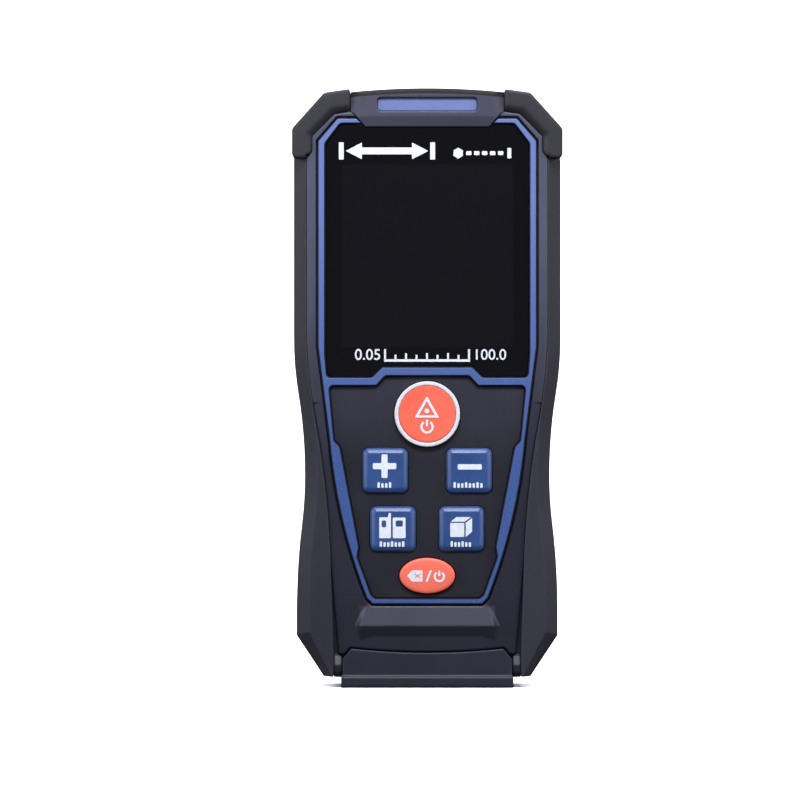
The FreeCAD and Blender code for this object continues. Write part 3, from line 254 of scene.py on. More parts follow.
def case_front():
    """The front half of the case: painted shade darkens the foot, painted light from above pales it beside
    the display, and painted highlights lie on the chin and along the edges.
    """
    g = Graph("case_front")
    cloud = g.noise(0.014, 3)
    speck = g.noise(0.00025, 2)
    rounded = g.rounded_normal(0.6 * MM)
    edge = g.edges(rounded)
    height = g.axis("Z")
    across = g.math("ABSOLUTE", g.axis("X"))
    # Painted shade: darker at the foot, below about 12 to 20 mm.
    colour = g.mix(g.ramp(height, 12.0 * MM, 20.0 * MM), srgb(29, 29, 42), srgb(36, 36, 50))
    # Painted light: paler from 40 mm up, as if lit from above.
    colour = g.mix(g.ramp(height, 40 * MM, 100 * MM, smooth=True), colour, srgb(74, 76, 92))
    # Painted highlight: a pale band on the chin below the trim.
    chin_side = g.ramp(across, 14.2 * MM, 13.2 * MM, smooth=True)
    chin_crest = g.ramp(height, 12.45 * MM, 12.75 * MM, smooth=True)
    chin_top = g.ramp(height, 16.9 * MM, 16.4 * MM, smooth=True)
    painted_chin_highlight = g.math("MULTIPLY", g.math("MULTIPLY", chin_side, chin_crest), chin_top)
    colour = g.mix(painted_chin_highlight, colour, srgb(55, 53, 71))
    tone = g.mix(g.ramp(cloud, 0.3, 0.7), g.shade(colour, 0.92), g.shade(colour, 1.08))
    tone = g.mix(g.ramp(speck, 0.35, 0.65, 0.0, 0.2), tone, g.shade(colour, 1.3))
    # Painted highlight: lighter along the edges.
    tone = g.mix(g.math("MULTIPLY", edge, 0.12), tone, g.shade(colour, 1.8))
    rough = g.math("SUBTRACT", g.ramp(cloud, 0.25, 0.75, 0.38, 0.46), g.math("MULTIPLY", edge, 0.06))
    return g.finish(tone, rough, g.bump(speck, 0.000012, rounded), Specular_IOR_Level=0.5)


def grip_rubber(name, colour, top):
    """Soft elastomer: a tight pebble texture, dusty highs and smoother edges, which are lighter by a
    painted highlight; a second colour takes over towards the top, on the grips paler as painted light from
    above.
    """
    g = Graph(name)
    cloud = g.noise(0.016, 3, stretch=(1, 1, 0.35))
    pebble = g.cells(0.00042)
    dust = g.noise(0.0009, 5, 0.65)
    rounded = g.rounded_normal(0.6 * MM)
    edge = g.edges(rounded)
    # Painted light: on the grips the colour pales towards the top; the bumpers sit wholly in the top
    # colour.
    colour = g.mix(g.ramp(g.axis("Z"), 30 * MM, 90 * MM, smooth=True), colour, top)
    tone = g.mix(g.ramp(cloud, 0.3, 0.7), g.shade(colour, 0.88), g.shade(colour, 1.12))
    tone = g.mix(g.ramp(dust, 0.5, 0.75, 0.0, 0.35), tone, g.shade(colour, 1.45))
    # Painted highlight: lighter along the edges.
    tone = g.mix(g.math("MULTIPLY", edge, 0.16), tone, g.shade(colour, 1.8))
    height = g.math("ADD", g.ramp(pebble, 0.0, 0.6), g.math("MULTIPLY", dust, 0.35))
    rough = g.math("SUBTRACT", g.ramp(cloud, 0.25, 0.75, 0.5, 0.6), g.math("MULTIPLY", edge, 0.08))
    return g.finish(tone, rough, g.bump(height, 0.000016, rounded), Specular_IOR_Level=0.45)


def bead_blue():
    """Satin blue bead: the crown pales towards the top as painted light from above, and the flanks are
    darkened to navy as painted shade.
    """
    g = Graph("trim_blue")
    front = g.facing_front()
    flow = g.noise(0.02, 3, stretch=(1, 1, 0.25))
    speck = g.noise(0.00018, 2)
    # Painted light: the crown pales from 45 mm up to the top.
    height = g.ramp(g.axis("Z"), 45 * MM, 100 * MM)
    crown = g.mix(height, srgb(53, 79, 136), srgb(104, 121, 174))
    crown = g.mix(g.ramp(flow, 0.3, 0.7, 0.0, 0.35), crown, srgb(66, 92, 154))
    crown = g.mix(g.ramp(speck, 0.35, 0.7, 0.0, 0.15), crown, srgb(126, 146, 200))
    # Painted shade: faces that turn away from the front go navy.
    on_crown = g.ramp(front, 0.86, 0.985, smooth=True)
    tone = g.mix(on_crown, srgb(7, 14, 42), crown)
    rough = g.math("ADD", g.ramp(flow, 0.25, 0.75, 0.30, 0.38), g.ramp(on_crown, 0.0, 1.0, 0.45, 0.0))
    return g.finish(tone, rough, g.bump(speck, 0.000004), Specular_IOR_Level=0.4)


def brow_plastic():
    """The brow: satin plastic with painted shade in a dark band along its arched top edge, and a painted
    highlight along its edges.
    """
    g = Graph("brow_plastic")
    cloud = g.noise(0.012, 3)
    speck = g.noise(0.00022, 2)
    rounded = g.rounded_normal(0.5 * MM)
    edge = g.edges(rounded)
    arch_diameter = 305 * MM
    arch_drop = g.math("DIVIDE", g.math("POWER", g.axis("X"), 2.0), arch_diameter)
    arch = g.math("ADD", g.axis("Z"), arch_drop)
    face = g.mix(g.ramp(cloud, 0.3, 0.7), srgb(60, 58, 72), srgb(67, 65, 81))
    face = g.mix(g.ramp(speck, 0.35, 0.65, 0.0, 0.2), face, srgb(86, 84, 99))
    # Painted highlight: lighter along the edges.
    face = g.mix(g.math("MULTIPLY", edge, 0.3), face, srgb(102, 100, 117))
    # Painted shade: a near-black band along the arched top edge.
    band = g.ramp(arch, 120.8 * MM, 121.05 * MM, smooth=True)
    tone = g.mix(band, face, srgb(9, 8, 10))
    rough = g.math("SUBTRACT", g.ramp(cloud, 0.25, 0.75, 0.36, 0.44), g.math("MULTIPLY", edge, 0.08))
    rough = g.math("ADD", rough, g.math("MULTIPLY", band, 0.3))
    return g.finish(tone, rough, g.bump(speck, 0.00001, rounded), Specular_IOR_Level=0.5)


def key_blue():
    """Satin blue key caps with a fine grain."""
    g = Graph("key_blue")
    cloud = g.noise(0.006, 3)
    speck = g.noise(0.0002, 2)
    tone = g.mix(g.ramp(cloud, 0.3, 0.7), srgb(38, 68, 121), srgb(50, 80, 137))
    tone = g.mix(g.ramp(speck, 0.35, 0.7, 0.0, 0.15), tone, srgb(86, 116, 176))
    rough = g.ramp(cloud, 0.25, 0.75, 0.3, 0.38)
    return g.finish(tone, rough, g.bump(speck, 0.000006), Specular_IOR_Level=0.5)


def key_orange():
    """Satin orange key caps; the oval one at the foot is paler."""
    g = Graph("key_orange")
    cloud = g.noise(0.006, 3)
    speck = g.noise(0.0002, 2)
    tone = g.mix(g.ramp(cloud, 0.3, 0.7), srgb(246, 100, 76), srgb(252, 112, 88))
    tone = g.mix(g.ramp(g.axis("Z"), 36 * MM, 34 * MM), tone, srgb(253, 115, 93))
    tone = g.mix(g.ramp(speck, 0.35, 0.7, 0.0, 0.15), tone, srgb(255, 146, 122))
    rough = g.ramp(cloud, 0.25, 0.75, 0.34, 0.42)
    return g.finish(tone, rough, g.bump(speck, 0.000005), Specular_IOR_Level=0.4)


def pad_print(name, colour):
    """Matt ink or paint, a little uneven."""
    g = Graph(name)
    uneven = g.noise(0.0007, 4)
    tone = g.mix(g.ramp(uneven, 0.35, 0.65), scaled(colour, 0.9), colour)
    return g.finish(tone, g.ramp(uneven, 0.3, 0.7, 0.45, 0.6), g.bump(uneven, 0.000002))


def window_black():
    """Polished black window; the display's active area shows a little lighter behind it."""
    g = Graph("window_black")
    across = g.math("ABSOLUTE", g.axis("X"))
    height = g.axis("Z")
    half_width = 17.5
    foot = 69.25
    top = 106.55
    fade = 0.1
    inside = g.ramp(across, half_width * MM, (half_width - fade) * MM)
    inside = g.math("MULTIPLY", inside, g.ramp(height, foot * MM, (foot + fade) * MM))
    inside = g.math("MULTIPLY", inside, g.ramp(height, top * MM, (top - fade) * MM))
    smear = g.noise(0.009, 4, 0.6)
    dust = g.noise(0.00035, 3)
    tone = g.mix(inside, srgb(5, 5, 10), srgb(13, 11, 17))
    tone = g.mix(g.ramp(dust, 0.68, 0.8, 0.0, 0.25), tone, srgb(60, 60, 70))
    rough = g.ramp(smear, 0.3, 0.7, 0.045, 0.1)
    return g.finish(tone, rough, g.bump(smear, 0.0000015), Specular_IOR_Level=0.45)


def keypad_film():
    """Matt key panel with an orange-peel texture; its upper part, round the on key, is paler by painted
    light from above.
    """
    g = Graph("panel_plastic")
    cloud = g.noise(0.01, 3)
    peel = g.noise(0.0006, 3)
    speck = g.noise(0.00016, 2)
    tone = g.mix(g.ramp(cloud, 0.3, 0.7), srgb(18, 18, 28), srgb(23, 23, 34))
    # Painted light: the panel pales from 44 mm up towards the on key.
    tone = g.mix(g.ramp(g.axis("Z"), 44 * MM, 60 * MM, 0.0, 0.6, smooth=True), tone, srgb(46, 46, 60))
    tone = g.mix(g.ramp(speck, 0.4, 0.7, 0.0, 0.15), tone, srgb(60, 60, 76))
    height = g.math("ADD", peel, g.math("MULTIPLY", speck, 0.3))
    rough = g.ramp(cloud, 0.25, 0.75, 0.42, 0.5)
    return g.finish(tone, rough, g.bump(height, 0.00002), Specular_IOR_Level=0.5)


def glass(name, tint, painted_coat_reflection):
    """Coated optical glass; its coating's purple reflection is painted into the colour at grazing angles.
    """
    g = Graph(name)
    smear = g.noise(0.003, 3)
    edge = g.add("ShaderNodeLayerWeight")
    edge.inputs["Blend"].default_value = 0.35
    # Painted reflection: the colour turns to the coating's tint where the glass is seen edge-on.
    tone = g.mix(edge.outputs["Facing"], tint, painted_coat_reflection)
    return g.finish(tone, g.ramp(smear, 0.3, 0.7, 0.02, 0.05), g.bump(smear, 0.0000008),
                    Transmission_Weight=0.92, IOR=1.5, Coat_Weight=0.3)


def metal(name, colour, roughness):
    """Turned or drawn metal with fine tool marks and a little staining."""
    g = Graph(name)
    marks = g.noise(0.0004, 3, 0.6)
    stain = g.noise(0.003, 4)
    tone = g.mix(g.ramp(stain, 0.35, 0.7), colour, scaled(colour, 0.72))
    rough = g.ramp(marks, 0.3, 0.7, roughness - 0.08, roughness + 0.1)
    return g.finish(tone, rough, g.bump(marks, 0.000005), Metallic=1.0)


MATERIALS = {
    "case_plastic": moulded("case_plastic", srgb(38, 38, 48), 0.42, radius=0.3),
    "case_front": case_front(),
    "grip_rubber": grip_rubber("grip_rubber", srgb(40, 39, 50), srgb(44, 42, 50)),
    "bumper_rubber": grip_rubber("bumper_rubber", srgb(40, 38, 46), srgb(38, 36, 43)),
    "brow_plastic": brow_plastic(),
    "trim_blue": bead_blue(),
    "inlay_blue": moulded("inlay_blue", srgb(108, 122, 170), 0.34, wear_and_edge_highlight=0.1),
    "window_black": window_black(),
    "panel_plastic": keypad_film(),
    "key_blue": key_blue(),
    "key_orange": key_orange(),
    "key_white": pad_print("key_white", srgb(226, 225, 230)),
    "bracket_plastic": moulded("bracket_plastic", srgb(34, 34, 47), 0.44, wear_and_edge_highlight=0.5),
    "cap_plastic": moulded("cap_plastic", srgb(38, 37, 44), 0.5),
    "lens_glass": glass("lens_glass", (0.80, 0.90, 1.0, 1), (0.55, 0.35, 0.85, 1)),
    "black_optics": moulded("black_optics", srgb(22, 22, 25), 0.5),
    "brass": metal("brass", (0.72, 0.52, 0.22, 1), 0.28),
    "steel": metal("steel", (0.45, 0.45, 0.47, 1), 0.3),
    "silicone": moulded("silicone", srgb(120, 122, 126), 0.6),
    "board": moulded("board", srgb(20, 90, 50), 0.35),
    "lcd": moulded("lcd", srgb(30, 32, 36), 0.2, wear_and_edge_highlight=0.0),
    "flex": moulded("flex", srgb(180, 110, 40), 0.35),
    "battery": moulded("battery", srgb(60, 60, 64), 0.3),
    "label": moulded("label", srgb(150, 151, 155), 0.45, wear_and_edge_highlight=0.2),
    "print_white": pad_print("print_white", srgb(232, 236, 242)),
    "print_dark": pad_print("print_dark", srgb(34, 35, 40)),
}


def dress_nodes():
    """Gives every CAD node the material of its slot in the record."""
    for entry in frame["record"]["subparts"]:
        node = nodes[entry["node"]]
        node.data.materials.clear()
        finish = "case_front" if entry["node"] == "front_shell" else entry["material_slot"]
        node.data.materials.append(MATERIALS[finish])


def soften(name, width, segments=3):
    """Rounds a CAD node's sharp edges with modifiers; the node itself stays as it is."""
    node = nodes[name]
    weld = node.modifiers.new("weld", "WELD")
    weld.merge_threshold = 0.000002
    flatten = node.modifiers.new("whole_faces", "DECIMATE")
    flatten.decimate_type = "DISSOLVE"
    flatten.angle_limit = math.radians(0.5)
    bevel = node.modifiers.new("soft_edges", "BEVEL")
    bevel.width = width
    bevel.segments = segments
    bevel.use_clamp_overlap = False
    bevel.limit_method = "ANGLE"
    bevel.angle_limit = math.radians(25)
    shading = node.modifiers.new("even_shading", "WEIGHTED_NORMAL")
    shading.mode = "FACE_AREA"
    shading.weight = 100


def soften_nodes():
    """Rounds the nodes whose edges catch the light, each by its own width."""
    soften("trim_frame", 0.42 * MM, 4)
    soften("end_bracket", 0.15 * MM)
    for name in ("left_bumper", "right_bumper"):
        soften(name, 0.45 * MM)
    for name in ("top_cap", "battery_cover", "brow_inlay"):
        soften(name, 0.2 * MM)
    for name in ("keypad_panel", "display_window", "lens_ring", "tripod_insert", "rear_label"):
        soften(name, 0.12 * MM, 2)


# ---------------------------------------------------------------- shapes (millimetres, seen from the front)

def rounded(points, radius, steps=4):
    """A polygon with its corners rounded."""
    result = []
    for index, corner in enumerate(points):
        here = Vector(corner)
        before = (Vector(points[index - 1]) - here)
        after = (Vector(points[(index + 1) % len(points)]) - here)
        reach = min(radius, before.length / 2, after.length / 2)
        start = here + before.normalized() * reach
        end = here + after.normalized() * reach
        for step in range(steps + 1):
            share = step / steps
            result.append(start.lerp(here, share).lerp(here.lerp(end, share), share))
    return result


def block(left, right, low, high, radius=0.0):
    """An upright rectangle, with rounded corners if a radius is given."""
    corners = [(left, low), (right, low), (right, high), (left, high)]
    return rounded(corners, radius) if radius else [Vector(corner) for corner in corners]


def ellipse(x, z, across, up, count=64):
    """An ellipse with its two half sizes."""
    return [Vector((x + across * math.cos(math.tau * i / count), z + up * math.sin(math.tau * i / count)))
            for i in range(count)]


def bar(start, end, width):
    """A straight stroke between two points."""
    start = Vector(start)
    end = Vector(end)
    along = (end - start).normalized()
    side = Vector((-along.y, along.x)) * width / 2
    return [start - side, end - side, end + side, start + side]


def arc_band(x, z, radius, width, first, last, count=24):
    """Part of a ring, from the first to the last angle in degrees."""
    angles = [math.radians(first + (last - first) * i / count) for i in range(count + 1)]
    outer = radius + width / 2
    inner = radius - width / 2
    there = [Vector((x + outer * math.cos(turn), z + outer * math.sin(turn))) for turn in angles]
    back = [Vector((x + inner * math.cos(turn), z + inner * math.sin(turn))) for turn in reversed(angles)]
    return there + back


def polygon(x, z, radius, corners):
    """A regular polygon with one corner at the top."""
    angles = [math.radians(90 + 360 * i / corners) for i in range(corners)]
    return [Vector((x + radius * math.cos(turn), z + radius * math.sin(turn))) for turn in angles]


# ---------------------------------------------------------------- pieces

def add_piece(name, mesh, slot, body):
    """Puts a mesh into the scene as a piece that rides on a CAD body."""
    piece = bpy.data.objects.new(name, mesh)
    bpy.context.scene.collection.objects.link(piece)
    mesh.materials.clear()
    mesh.materials.append(MATERIALS[slot])
    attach(piece, body)
    return piece


def printed(name, shapes, fore, body="housing", slot="print_white", thickness=PRINT_THICKNESS,
            backwards=False):
    """Thin raised print on a flat face; a shape inside another one is a hole in it.

    A print that faces backwards is on the back, where fore counts from the middle plane to the rear.
    """
    curve = bpy.data.curves.new(name, "CURVE")
    curve.dimensions = "2D"
    curve.fill_mode = "BOTH"
    curve.extrude = thickness * MM / 2
    for points in shapes:
        spline = curve.splines.new("POLY")
        spline.points.add(len(points) - 1)
        for point, place in zip(spline.points, points):
            point.co = (place.x * MM, place.y * MM, 0, 1)
        spline.use_cyclic_u = True
    return flat_curve_piece(name, curve, fore, body, slot, thickness, backwards)


def flat_curve_piece(name, curve, fore, body, slot, thickness, backwards):
    """Turns a flat curve into a mesh that stands upright on the front, or on the back."""
    holder = bpy.data.objects.new(name + "_curve", curve)
    bpy.context.scene.collection.objects.link(holder)
    bpy.context.view_layer.update()
    graph = bpy.context.evaluated_depsgraph_get()
    mesh = bpy.data.meshes.new_from_object(holder.evaluated_get(graph))
    bpy.data.objects.remove(holder)
    turn = -1 if backwards else 1
    for vertex in mesh.vertices:
        x, up, out = vertex.co
        vertex.co = (turn * x, -turn * (out + (fore + thickness / 2) * MM), up)
    return add_piece(name, mesh, slot, body)


def numeral(name, text, x, z, height, fore):
    """A number printed on the housing, centred on a point; its digits are this high."""
    curve = bpy.data.curves.new(name, "FONT")
    curve.body = text
    curve.align_x = "CENTER"
    curve.align_y = "CENTER"
    share_of_size = 0.7
    curve.size = height * MM / share_of_size
    curve.extrude = PRINT_THICKNESS * MM / 2
    curve.offset = 0.02 * MM
    piece = flat_curve_piece(name, curve, fore, "housing", "print_white", PRINT_THICKNESS, False)
    for vertex in piece.data.vertices:
        vertex.co.x += x * MM
        vertex.co.z += z * MM
    return piece


def on_face(point, fore):
    """A point seen from the front, as a place in the scene."""
    return Vector((point.x * MM, -fore * MM, point.y * MM))


def smooth_mesh(name, shape, sharp_degrees):
    """Turns an edited shape into a mesh, smooth except where it bends by more than an angle."""
    bmesh.ops.recalc_face_normals(shape, faces=shape.faces)
    mesh = bpy.data.meshes.new(name)
    shape.to_mesh(mesh)
    shape.free()
    mesh.shade_smooth()
    mesh.set_sharp_from_angle(angle=math.radians(sharp_degrees))
    return mesh


def stacked(name, rings, slot, body):
    """A cap built from closed outlines, each at its own fore, from its foot to its top."""
    shape = bmesh.new()
    loops = []
    for outline, fore in rings:
        loops.append([shape.verts.new(on_face(point, fore)) for point in outline])
    count = len(loops[0])
    for lower, upper in zip(loops, loops[1:]):
        for index in range(count):
            after = (index + 1) % count
            shape.faces.new((lower[index], lower[after], upper[after], upper[index]))
    shape.faces.new(loops[-1])
    shape.faces.new(loops[0][::-1])
    bmesh.ops.triangulate(shape, faces=[face for face in shape.faces if len(face.verts) > 4])
    return add_piece(name, smooth_mesh(name, shape, 30), slot, body)


def square_outline(x, z, inset):
    """A square key's outline; a negative inset widens it."""
    half = 4.46 - inset
    corner = max(1.35 - inset, 0.35)
    corners = [(x - half, z - half), (x + half, z - half), (x + half, z + half), (x - half, z + half)]
    return rounded(corners, corner, 6)


def make_square_key(name, x, z, marks):
    """A key with a wide flat bevel round a slightly dished top, and its white marks."""
    levels = [(-0.16, KEY_FOOT_FORE), (-0.16, 13.36), (-0.05, 13.46), (0.0, 13.7), (0.03, 13.84),
              (0.1, 13.93), (0.2, 14.01), (0.78, 14.27), (0.88, 14.32), (1.0, 14.335), (1.4, 14.33),
              (2.4, 14.3)]
    rings = [(square_outline(x, z, inset), fore) for inset, fore in levels]
    cap = stacked(name + "_cap", rings, "key_blue", name + "_body")
    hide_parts(name)
    printed(name + "_marks", marks, KEY_FACE_FORE, name + "_body", thickness=0.06)


def caption(x, z, width, count):
    """A row of short upright dashes that stands for a caption."""
    step = width / count
    shapes = []
    for index in range(count):
        left = x - width / 2 + step * index
        high = 0.62 if index % 3 == 0 else 0.42
        shapes.append(block(left, left + step * 0.62, z - 0.5, z + high, 0.12))
    return shapes


def plus_marks(x, z):
    """A plus sign and its caption."""
    arm = 2.4
    half = 0.62
    corners = [(-half, -arm), (half, -arm), (half, -half), (arm, -half), (arm, half), (half, half),
               (half, arm), (-half, arm), (-half, half), (-arm, half), (-arm, -half), (-half, -half)]
    cross = rounded([(x - 0.15 + across, z + 0.9 + up) for across, up in corners], 0.28)
    return [cross] + caption(x - 0.05, z - 3.0, 3.1, 4)


def minus_marks(x, z):
    """A minus sign and its caption."""
    return [block(x - 2.35, x + 2.55, z + 0.2, z + 1.3, 0.28)] + caption(x - 0.1, z - 3.0, 6.2, 8)


def section_marks(x, z):
    """Two blocks side by side, one with a slot and a mast, one with a window."""
    left = rounded([(x - 2.8, z - 1.85), (x - 0.42, z - 1.85), (x - 0.42, z + 3.3), (x - 0.85, z + 3.3),
                    (x - 1.05, z + 2.4), (x - 2.8, z + 2.4)], 0.22)
    right = block(x - 0.05, x + 2.55, z - 1.85, z + 2.35, 0.25)
    slot = block(x - 2.3, x - 1.4, z + 0.35, z + 1.75, 0.3)
    window = block(x + 0.55, x + 2.0, z + 0.5, z + 1.75, 0.3)
    return [left, right, slot, window] + caption(x - 0.05, z - 3.1, 5.3, 7)


def cube_marks(x, z):
    """A cube drawn as three faces with thin gaps."""
    front = block(x - 2.3, x + 0.55, z - 1.6, z + 1.25, 0.1)
    lid = [(-2.2, 1.5), (0.62, 1.5), (1.95, 2.45), (-1.0, 2.45)]
    side = [(0.85, -1.6), (2.15, -0.55), (2.15, 2.25), (0.85, 1.3)]
    slanted = [[Vector((x + across, z + up)) for across, up in corners] for corners in (lid, side)]
    return [front] + slanted + caption(x, z - 3.1, 4.4, 6)


def make_keys():
    """All six keys with their marks."""
    square_keys = (
        ("add_key", -UPPER_KEY_X, UPPER_KEY_HEIGHT, plus_marks),
        ("subtract_key", UPPER_KEY_X, UPPER_KEY_HEIGHT, minus_marks),
        ("section_key", -LOWER_KEY_X, LOWER_KEY_HEIGHT, section_marks),
        ("units_key", LOWER_KEY_X, LOWER_KEY_HEIGHT, cube_marks),
    )
    for name, x, z, marks in square_keys:
        make_square_key(name, x, z, marks(x, z))
    make_on_key()
    make_clear_key()


def power_sign(x, z, radius, stroke):
    """A ring that is open at the top, with an upright bar in the gap."""
    ring = arc_band(x, z, radius, stroke, 125, 415)
    line = bar((x, z + 0.1 * radius), (x, z + 1.25 * radius), stroke)
    return [ring, line]


def make_on_key():
    """The round key: a shallow dish inside the white ring, with a laser triangle and a power sign."""
    z = ON_KEY_HEIGHT
    levels = [(5.8, KEY_FOOT_FORE), (5.8, 14.3), (5.76, 14.42), (5.66, 14.5), (5.45, 14.52), (5.0, 14.49),
              (3.0, ON_KEY_FACE_FORE)]
    rings = [(ellipse(0, z, radius, radius, 96), fore) for radius, fore in levels]
    disc = stacked("on_key_disc", rings, "key_orange", "on_key_body")
    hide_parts("on_key")
    triangle = rounded([(-2.6, z - 0.75), (2.45, z - 0.75), (-0.08, z + 3.65)], 0.3)
    hollow = rounded([(-1.72, z - 0.25), (1.57, z - 0.25), (-0.08, z + 2.62)], 0.1)
    dot = polygon(-0.08, z + 0.62, 0.52, 8)
    marks = [triangle, hollow, dot] + power_sign(-0.05, z - 2.6, 1.14, 0.46)
    printed("on_key_marks", marks, ON_KEY_FACE_FORE, "on_key_body", thickness=0.1)


def make_clear_key():
    """The oval key: a pillow with a clear sign, a slash and a power sign."""
    z = CLEAR_KEY_HEIGHT
    levels = [(0.0, KEY_FOOT_FORE), (0.0, 13.8), (0.05, 14.04), (0.14, 14.2), (0.3, 14.29), (0.6, 14.36),
              (0.95, 14.4), (1.5, 14.43), (2.4, CLEAR_KEY_FACE_FORE)]
    rings = [(ellipse(0, z, 5.65 - inset, 3.63 - inset, 96), fore) for inset, fore in levels]
    pillow = stacked("clear_key_pillow", rings, "key_orange", "clear_key_body")
    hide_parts("clear_key")
    z -= 0.05
    tag = [(-4.15, z), (-3.05, z - 1.15), (-0.95, z - 1.15), (-0.95, z + 1.15), (-3.05, z + 1.15)]
    cross = [(-2.55, z - 0.55), (-1.95, z - 0.12), (-1.35, z - 0.55), (-1.25, z - 0.45), (-1.75, z),
             (-1.25, z + 0.45), (-1.35, z + 0.55), (-1.95, z + 0.12), (-2.55, z + 0.55), (-2.65, z + 0.45),
             (-2.15, z), (-2.65, z - 0.45)]
    slash = bar((-0.15, z - 1.15), (0.75, z + 1.15), 0.42)
    marks = [rounded(tag, 0.2), [Vector(corner) for corner in cross], slash]
    marks += power_sign(2.45, z - 0.1, 0.95, 0.42)
    printed("clear_key_marks", marks, CLEAR_KEY_FACE_FORE, "clear_key_body", thickness=0.05)


# ---------------------------------------------------------------- prints on the window

def make_window_print():
    """A dimension arrow and a dotted beam over the display, and the range scale under it."""
    middle = 109.25
    left = -16.6
    right = 0.2
    left_neck = left + 3.3
    right_neck = right - 3.3
    arrow = [(left, 0), (left_neck, -1.7), (left_neck, -0.7), (right_neck, -0.7), (right_neck, -1.7),
             (right, 0), (right_neck, 1.7), (right_neck, 0.7), (left_neck, 0.7), (left_neck, 1.7)]
    shapes = [
        block(-18.0, -17.0, 107.5, 111.0, 0.15),
        block(0.6, 1.6, 107.5, 111.0, 0.15),
        rounded([(x, middle + up) for x, up in arrow], 0.12),
    ]
    printed("dimension_mark", shapes, WINDOW_FORE)
    beam = [polygon(6.3, 108.8, 1.1, 6)]
    beam += [block(7.9 + 1.62 * step, 9.0 + 1.62 * step, 108.4, 109.2, 0.2) for step in range(5)]
    beam.append(block(16.3, 17.1, 107.75, 109.85, 0.12))
    printed("beam_mark", beam, WINDOW_FORE)
    scale = [block(-8.8, 8.7, 66.35, 66.85)]
    steps = 8
    for step in range(steps + 1):
        x = -8.6 + 17.1 * step / steps
        high = 68.9 if step % steps == 0 else (67.75 if step % 2 else 68.1)
        scale.append(block(x - 0.2, x + 0.2, 66.9, high))
    printed("range_scale", scale, WINDOW_FORE)
    numeral("scale_low", "0.05", -12.1, 67.7, 2.2, WINDOW_FORE)
    numeral("scale_high", "100.0", 12.72, 67.7, 2.15, WINDOW_FORE)


# ---------------------------------------------------------------- back and top

def make_screw_rims():
    """Raised rims on the four screw heads that leave a six-lobed recess."""
    count = 48
    head = 1.6
    for x, z in SCREW_PLACES:
        lobes = []
        for index in range(count):
            turn = math.tau * index / count
            reach = 0.82 + 0.14 * math.cos(6 * turn)
            lobes.append(Vector((x + reach * math.cos(turn), z + reach * math.sin(turn))))
        side = "left" if x < 0 else "right"
        level = "top" if z > TRIPOD_HEIGHT else "foot"
        printed(f"screw_rim_{side}_{level}", [ellipse(x, z, head, head, count), lobes], SCREW_BACK,
                slot="steel", thickness=0.4, backwards=True)


def make_label_print():
    """A generic rating plate: a frame, a ruled table and a row of bars."""
    dark = [block(-14.1, 14.1, 78.9, 107.1, 0.6), block(-13.9, 13.9, 79.1, 106.9, 0.5)]
    margin = 12.6
    for rule in (101.2, 97.0, 92.8):
        dark.append(block(-margin, margin, rule - 0.1, rule + 0.1))
    for row, width in ((103.2, 15.0), (99.1, 11.0), (94.9, 13.0)):
        dark.append(block(-margin, -margin + width, row - 0.55, row + 0.55, 0.2))
        dark.append(block(margin - 4.2, margin, row - 0.55, row + 0.55, 0.2))
    widths = (0.35, 0.7, 0.35, 1.0, 0.5)
    gaps = (0.4, 0.55, 0.8)
    left = -margin
    count = 0
    while left < 12.0:
        width = widths[count % len(widths)]
        dark.append(block(left, left + width, 81.4, 89.4))
        left += width + gaps[count % len(gaps)]
        count += 1
    printed("rear_label_print", dark, LABEL_BACK, slot="print_dark", thickness=0.02, backwards=True)


def make_door_arrow():
    """A raised arrow on the battery cover that shows which way its catch goes."""
    arrow = [(0, 51.2), (3.0, 54.4), (1.1, 54.4), (1.1, 56.2), (-1.1, 56.2), (-1.1, 54.4), (-3.0, 54.4)]
    printed("door_arrow", [rounded(arrow, 0.3)], DOOR_BACK, body="battery_door", slot="case_plastic",
            thickness=0.2, backwards=True)


def make_thread():
    """The tripod thread's ridge, wound inside the brass insert."""
    turns = 5
    steps = 40
    pitch = 1.27
    root_radius = 2.62
    first = 7.8
    bore_end = 7.3
    bore_mouth = 13.85
    profile = ((0.0, -0.45), (-0.38, 0.0), (0.0, 0.45))
    shape = bmesh.new()
    rows = []
    for index in range(turns * steps + 1):
        turn = math.tau * index / steps
        along = first + pitch * index / steps
        row = []
        for inward, aside in profile:
            radius = (root_radius + inward) * MM
            back = min(max(along + aside, bore_end), bore_mouth) * MM
            height = TRIPOD_HEIGHT * MM + radius * math.sin(turn)
            row.append(shape.verts.new((radius * math.cos(turn), back, height)))
        rows.append(row)
    for before, after in zip(rows, rows[1:]):
        for side in range(len(profile) - 1):
            shape.faces.new((before[side], after[side], after[side + 1], before[side + 1]))
    add_piece("thread_ridge", smooth_mesh("thread_ridge", shape, 35), "brass", "housing")


# ---------------------------------------------------------------- stage

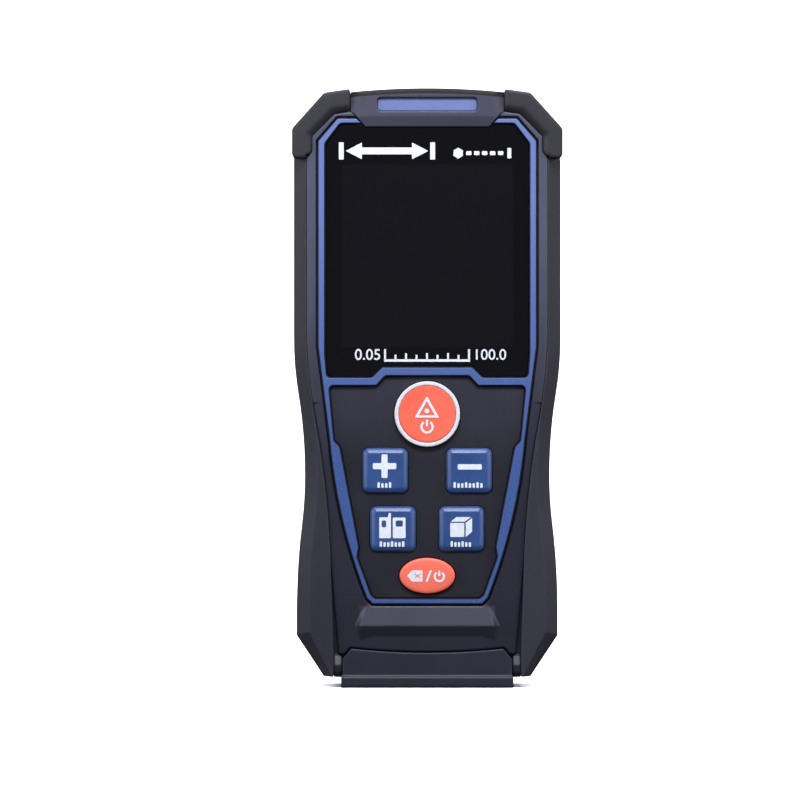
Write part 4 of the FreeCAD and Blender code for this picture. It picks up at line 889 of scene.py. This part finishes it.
def make_stage():
    """A plain pale sweep: floor, curve and back wall in one sheet."""
    radius = 0.6
    front_edge = -3.0
    curve_start = 1.2
    steps = 16
    half_width = 4.0
    wall_top = 4.0
    gap_under_foot = 0.00004
    profile = [(front_edge, 0.0), (curve_start, 0.0)]
    for step in range(1, steps + 1):
        turn = math.radians(90 * step / steps)
        profile.append((curve_start + radius * math.sin(turn), radius - radius * math.cos(turn)))
    profile.append((curve_start + radius, wall_top))
    sheet = bmesh.new()
    rows = [[sheet.verts.new((side * half_width, y, z - gap_under_foot)) for y, z in profile]
            for side in (-1, 1)]
    for index in range(len(profile) - 1):
        sheet.faces.new((rows[0][index], rows[1][index], rows[1][index + 1], rows[0][index + 1]))
    mesh = bpy.data.meshes.new("sweep")
    sheet.to_mesh(mesh)
    sheet.free()
    mesh.shade_smooth()
    sweep = bpy.data.objects.new("sweep", mesh)
    bpy.context.scene.collection.objects.link(sweep)
    g = Graph("sweep_paper")
    tone = g.mix(g.noise(0.05, 3), (0.88, 0.88, 0.89, 1), (0.90, 0.90, 0.91, 1))
    mesh.materials.append(g.finish(tone, 0.9, Specular_IOR_Level=0.1))
    sweep.visible_diffuse = False
    sweep.visible_glossy = False
    return sweep


def area_light(name, place, target, width, height, power, only=None, colour=(1, 1, 1)):
    """A soft box that points at a target; it may light only some objects."""
    lamp = bpy.data.lights.new(name, "AREA")
    lamp.shape = "RECTANGLE"
    lamp.size = width
    lamp.size_y = height
    lamp.energy = power
    lamp.color = colour
    holder = bpy.data.objects.new(name, lamp)
    holder.location = place
    holder.rotation_mode = "QUATERNION"
    holder.rotation_quaternion = (Vector(target) - Vector(place)).to_track_quat("-Z", "Y")
    bpy.context.scene.collection.objects.link(holder)
    if only is not None:
        group = bpy.data.collections.new(name + "_lights")
        group.objects.link(only)
        holder.light_linking.receiver_collection = group
    return holder


def make_lights(sweep):
    """A cool soft key from above the front, side fills, and lamps for the back and the sweep."""
    middle = (0, 0, 0.06)
    cool = (0.90, 0.93, 1.0)
    area_light("key_light", (0, -0.30, 0.38), (0, 0, 0.10), 0.30, 0.12, 2.3, colour=cool)
    area_light("left_fill", (-0.75, -0.35, 0.25), middle, 0.4, 0.5, 3.0, colour=cool)
    area_light("right_fill", (0.75, -0.35, 0.25), middle, 0.4, 0.5, 2.6, colour=cool)
    area_light("back_left", (-0.5, 0.7, 0.4), middle, 0.5, 0.5, 5.0, colour=cool)
    area_light("back_right", (0.5, 0.7, 0.5), middle, 0.5, 0.5, 6.0, colour=cool)
    area_light("top_light", (0, 0.15, 0.9), middle, 0.4, 0.4, 3.0, colour=cool)
    area_light("sweep_front", (0, -1.2, 1.6), (0, 0.6, 0), 3.0, 1.0, 150, only=sweep)
    area_light("sweep_back", (0, 0.2, 2.6), (0, 1.7, 0.6), 3.0, 1.0, 120, only=sweep)


def make_world():
    """A dim even surround."""
    world = bpy.data.worlds.new("studio")
    bpy.context.scene.world = world
    world.use_nodes = True
    background = world.node_tree.nodes["Background"]
    background.inputs["Color"].default_value = (0.16, 0.16, 0.17, 1)


def make_camera():
    """Straight in front with a long lens; the object is a little right of and above the middle."""
    distance = 1.5
    share_of_picture = 0.75
    picture_width = (cad_high.z - cad_low.z) / share_of_picture
    lens = bpy.data.cameras.new("camera")
    lens.sensor_width = 36
    lens.lens = lens.sensor_width * distance / picture_width
    lens.clip_start = 0.01
    lens.clip_end = 100
    camera = bpy.data.objects.new("camera", lens)
    middle = (cad_low + cad_high) / 2
    aside = 0.0341 * picture_width
    below = 0.015 * picture_width
    camera.location = (middle.x - aside, cad_low.y - distance, middle.z - below)
    camera.rotation_euler = (math.radians(90), 0, 0)
    bpy.context.scene.collection.objects.link(camera)
    bpy.context.scene.camera = camera


bpy.context.scene.view_settings.view_transform = "Standard"
make_lights(make_stage())
make_world()
make_camera()
dress_nodes()
soften_nodes()
make_keys()
make_window_print()
make_screw_rims()
make_label_print()
make_door_arrow()
make_thread()
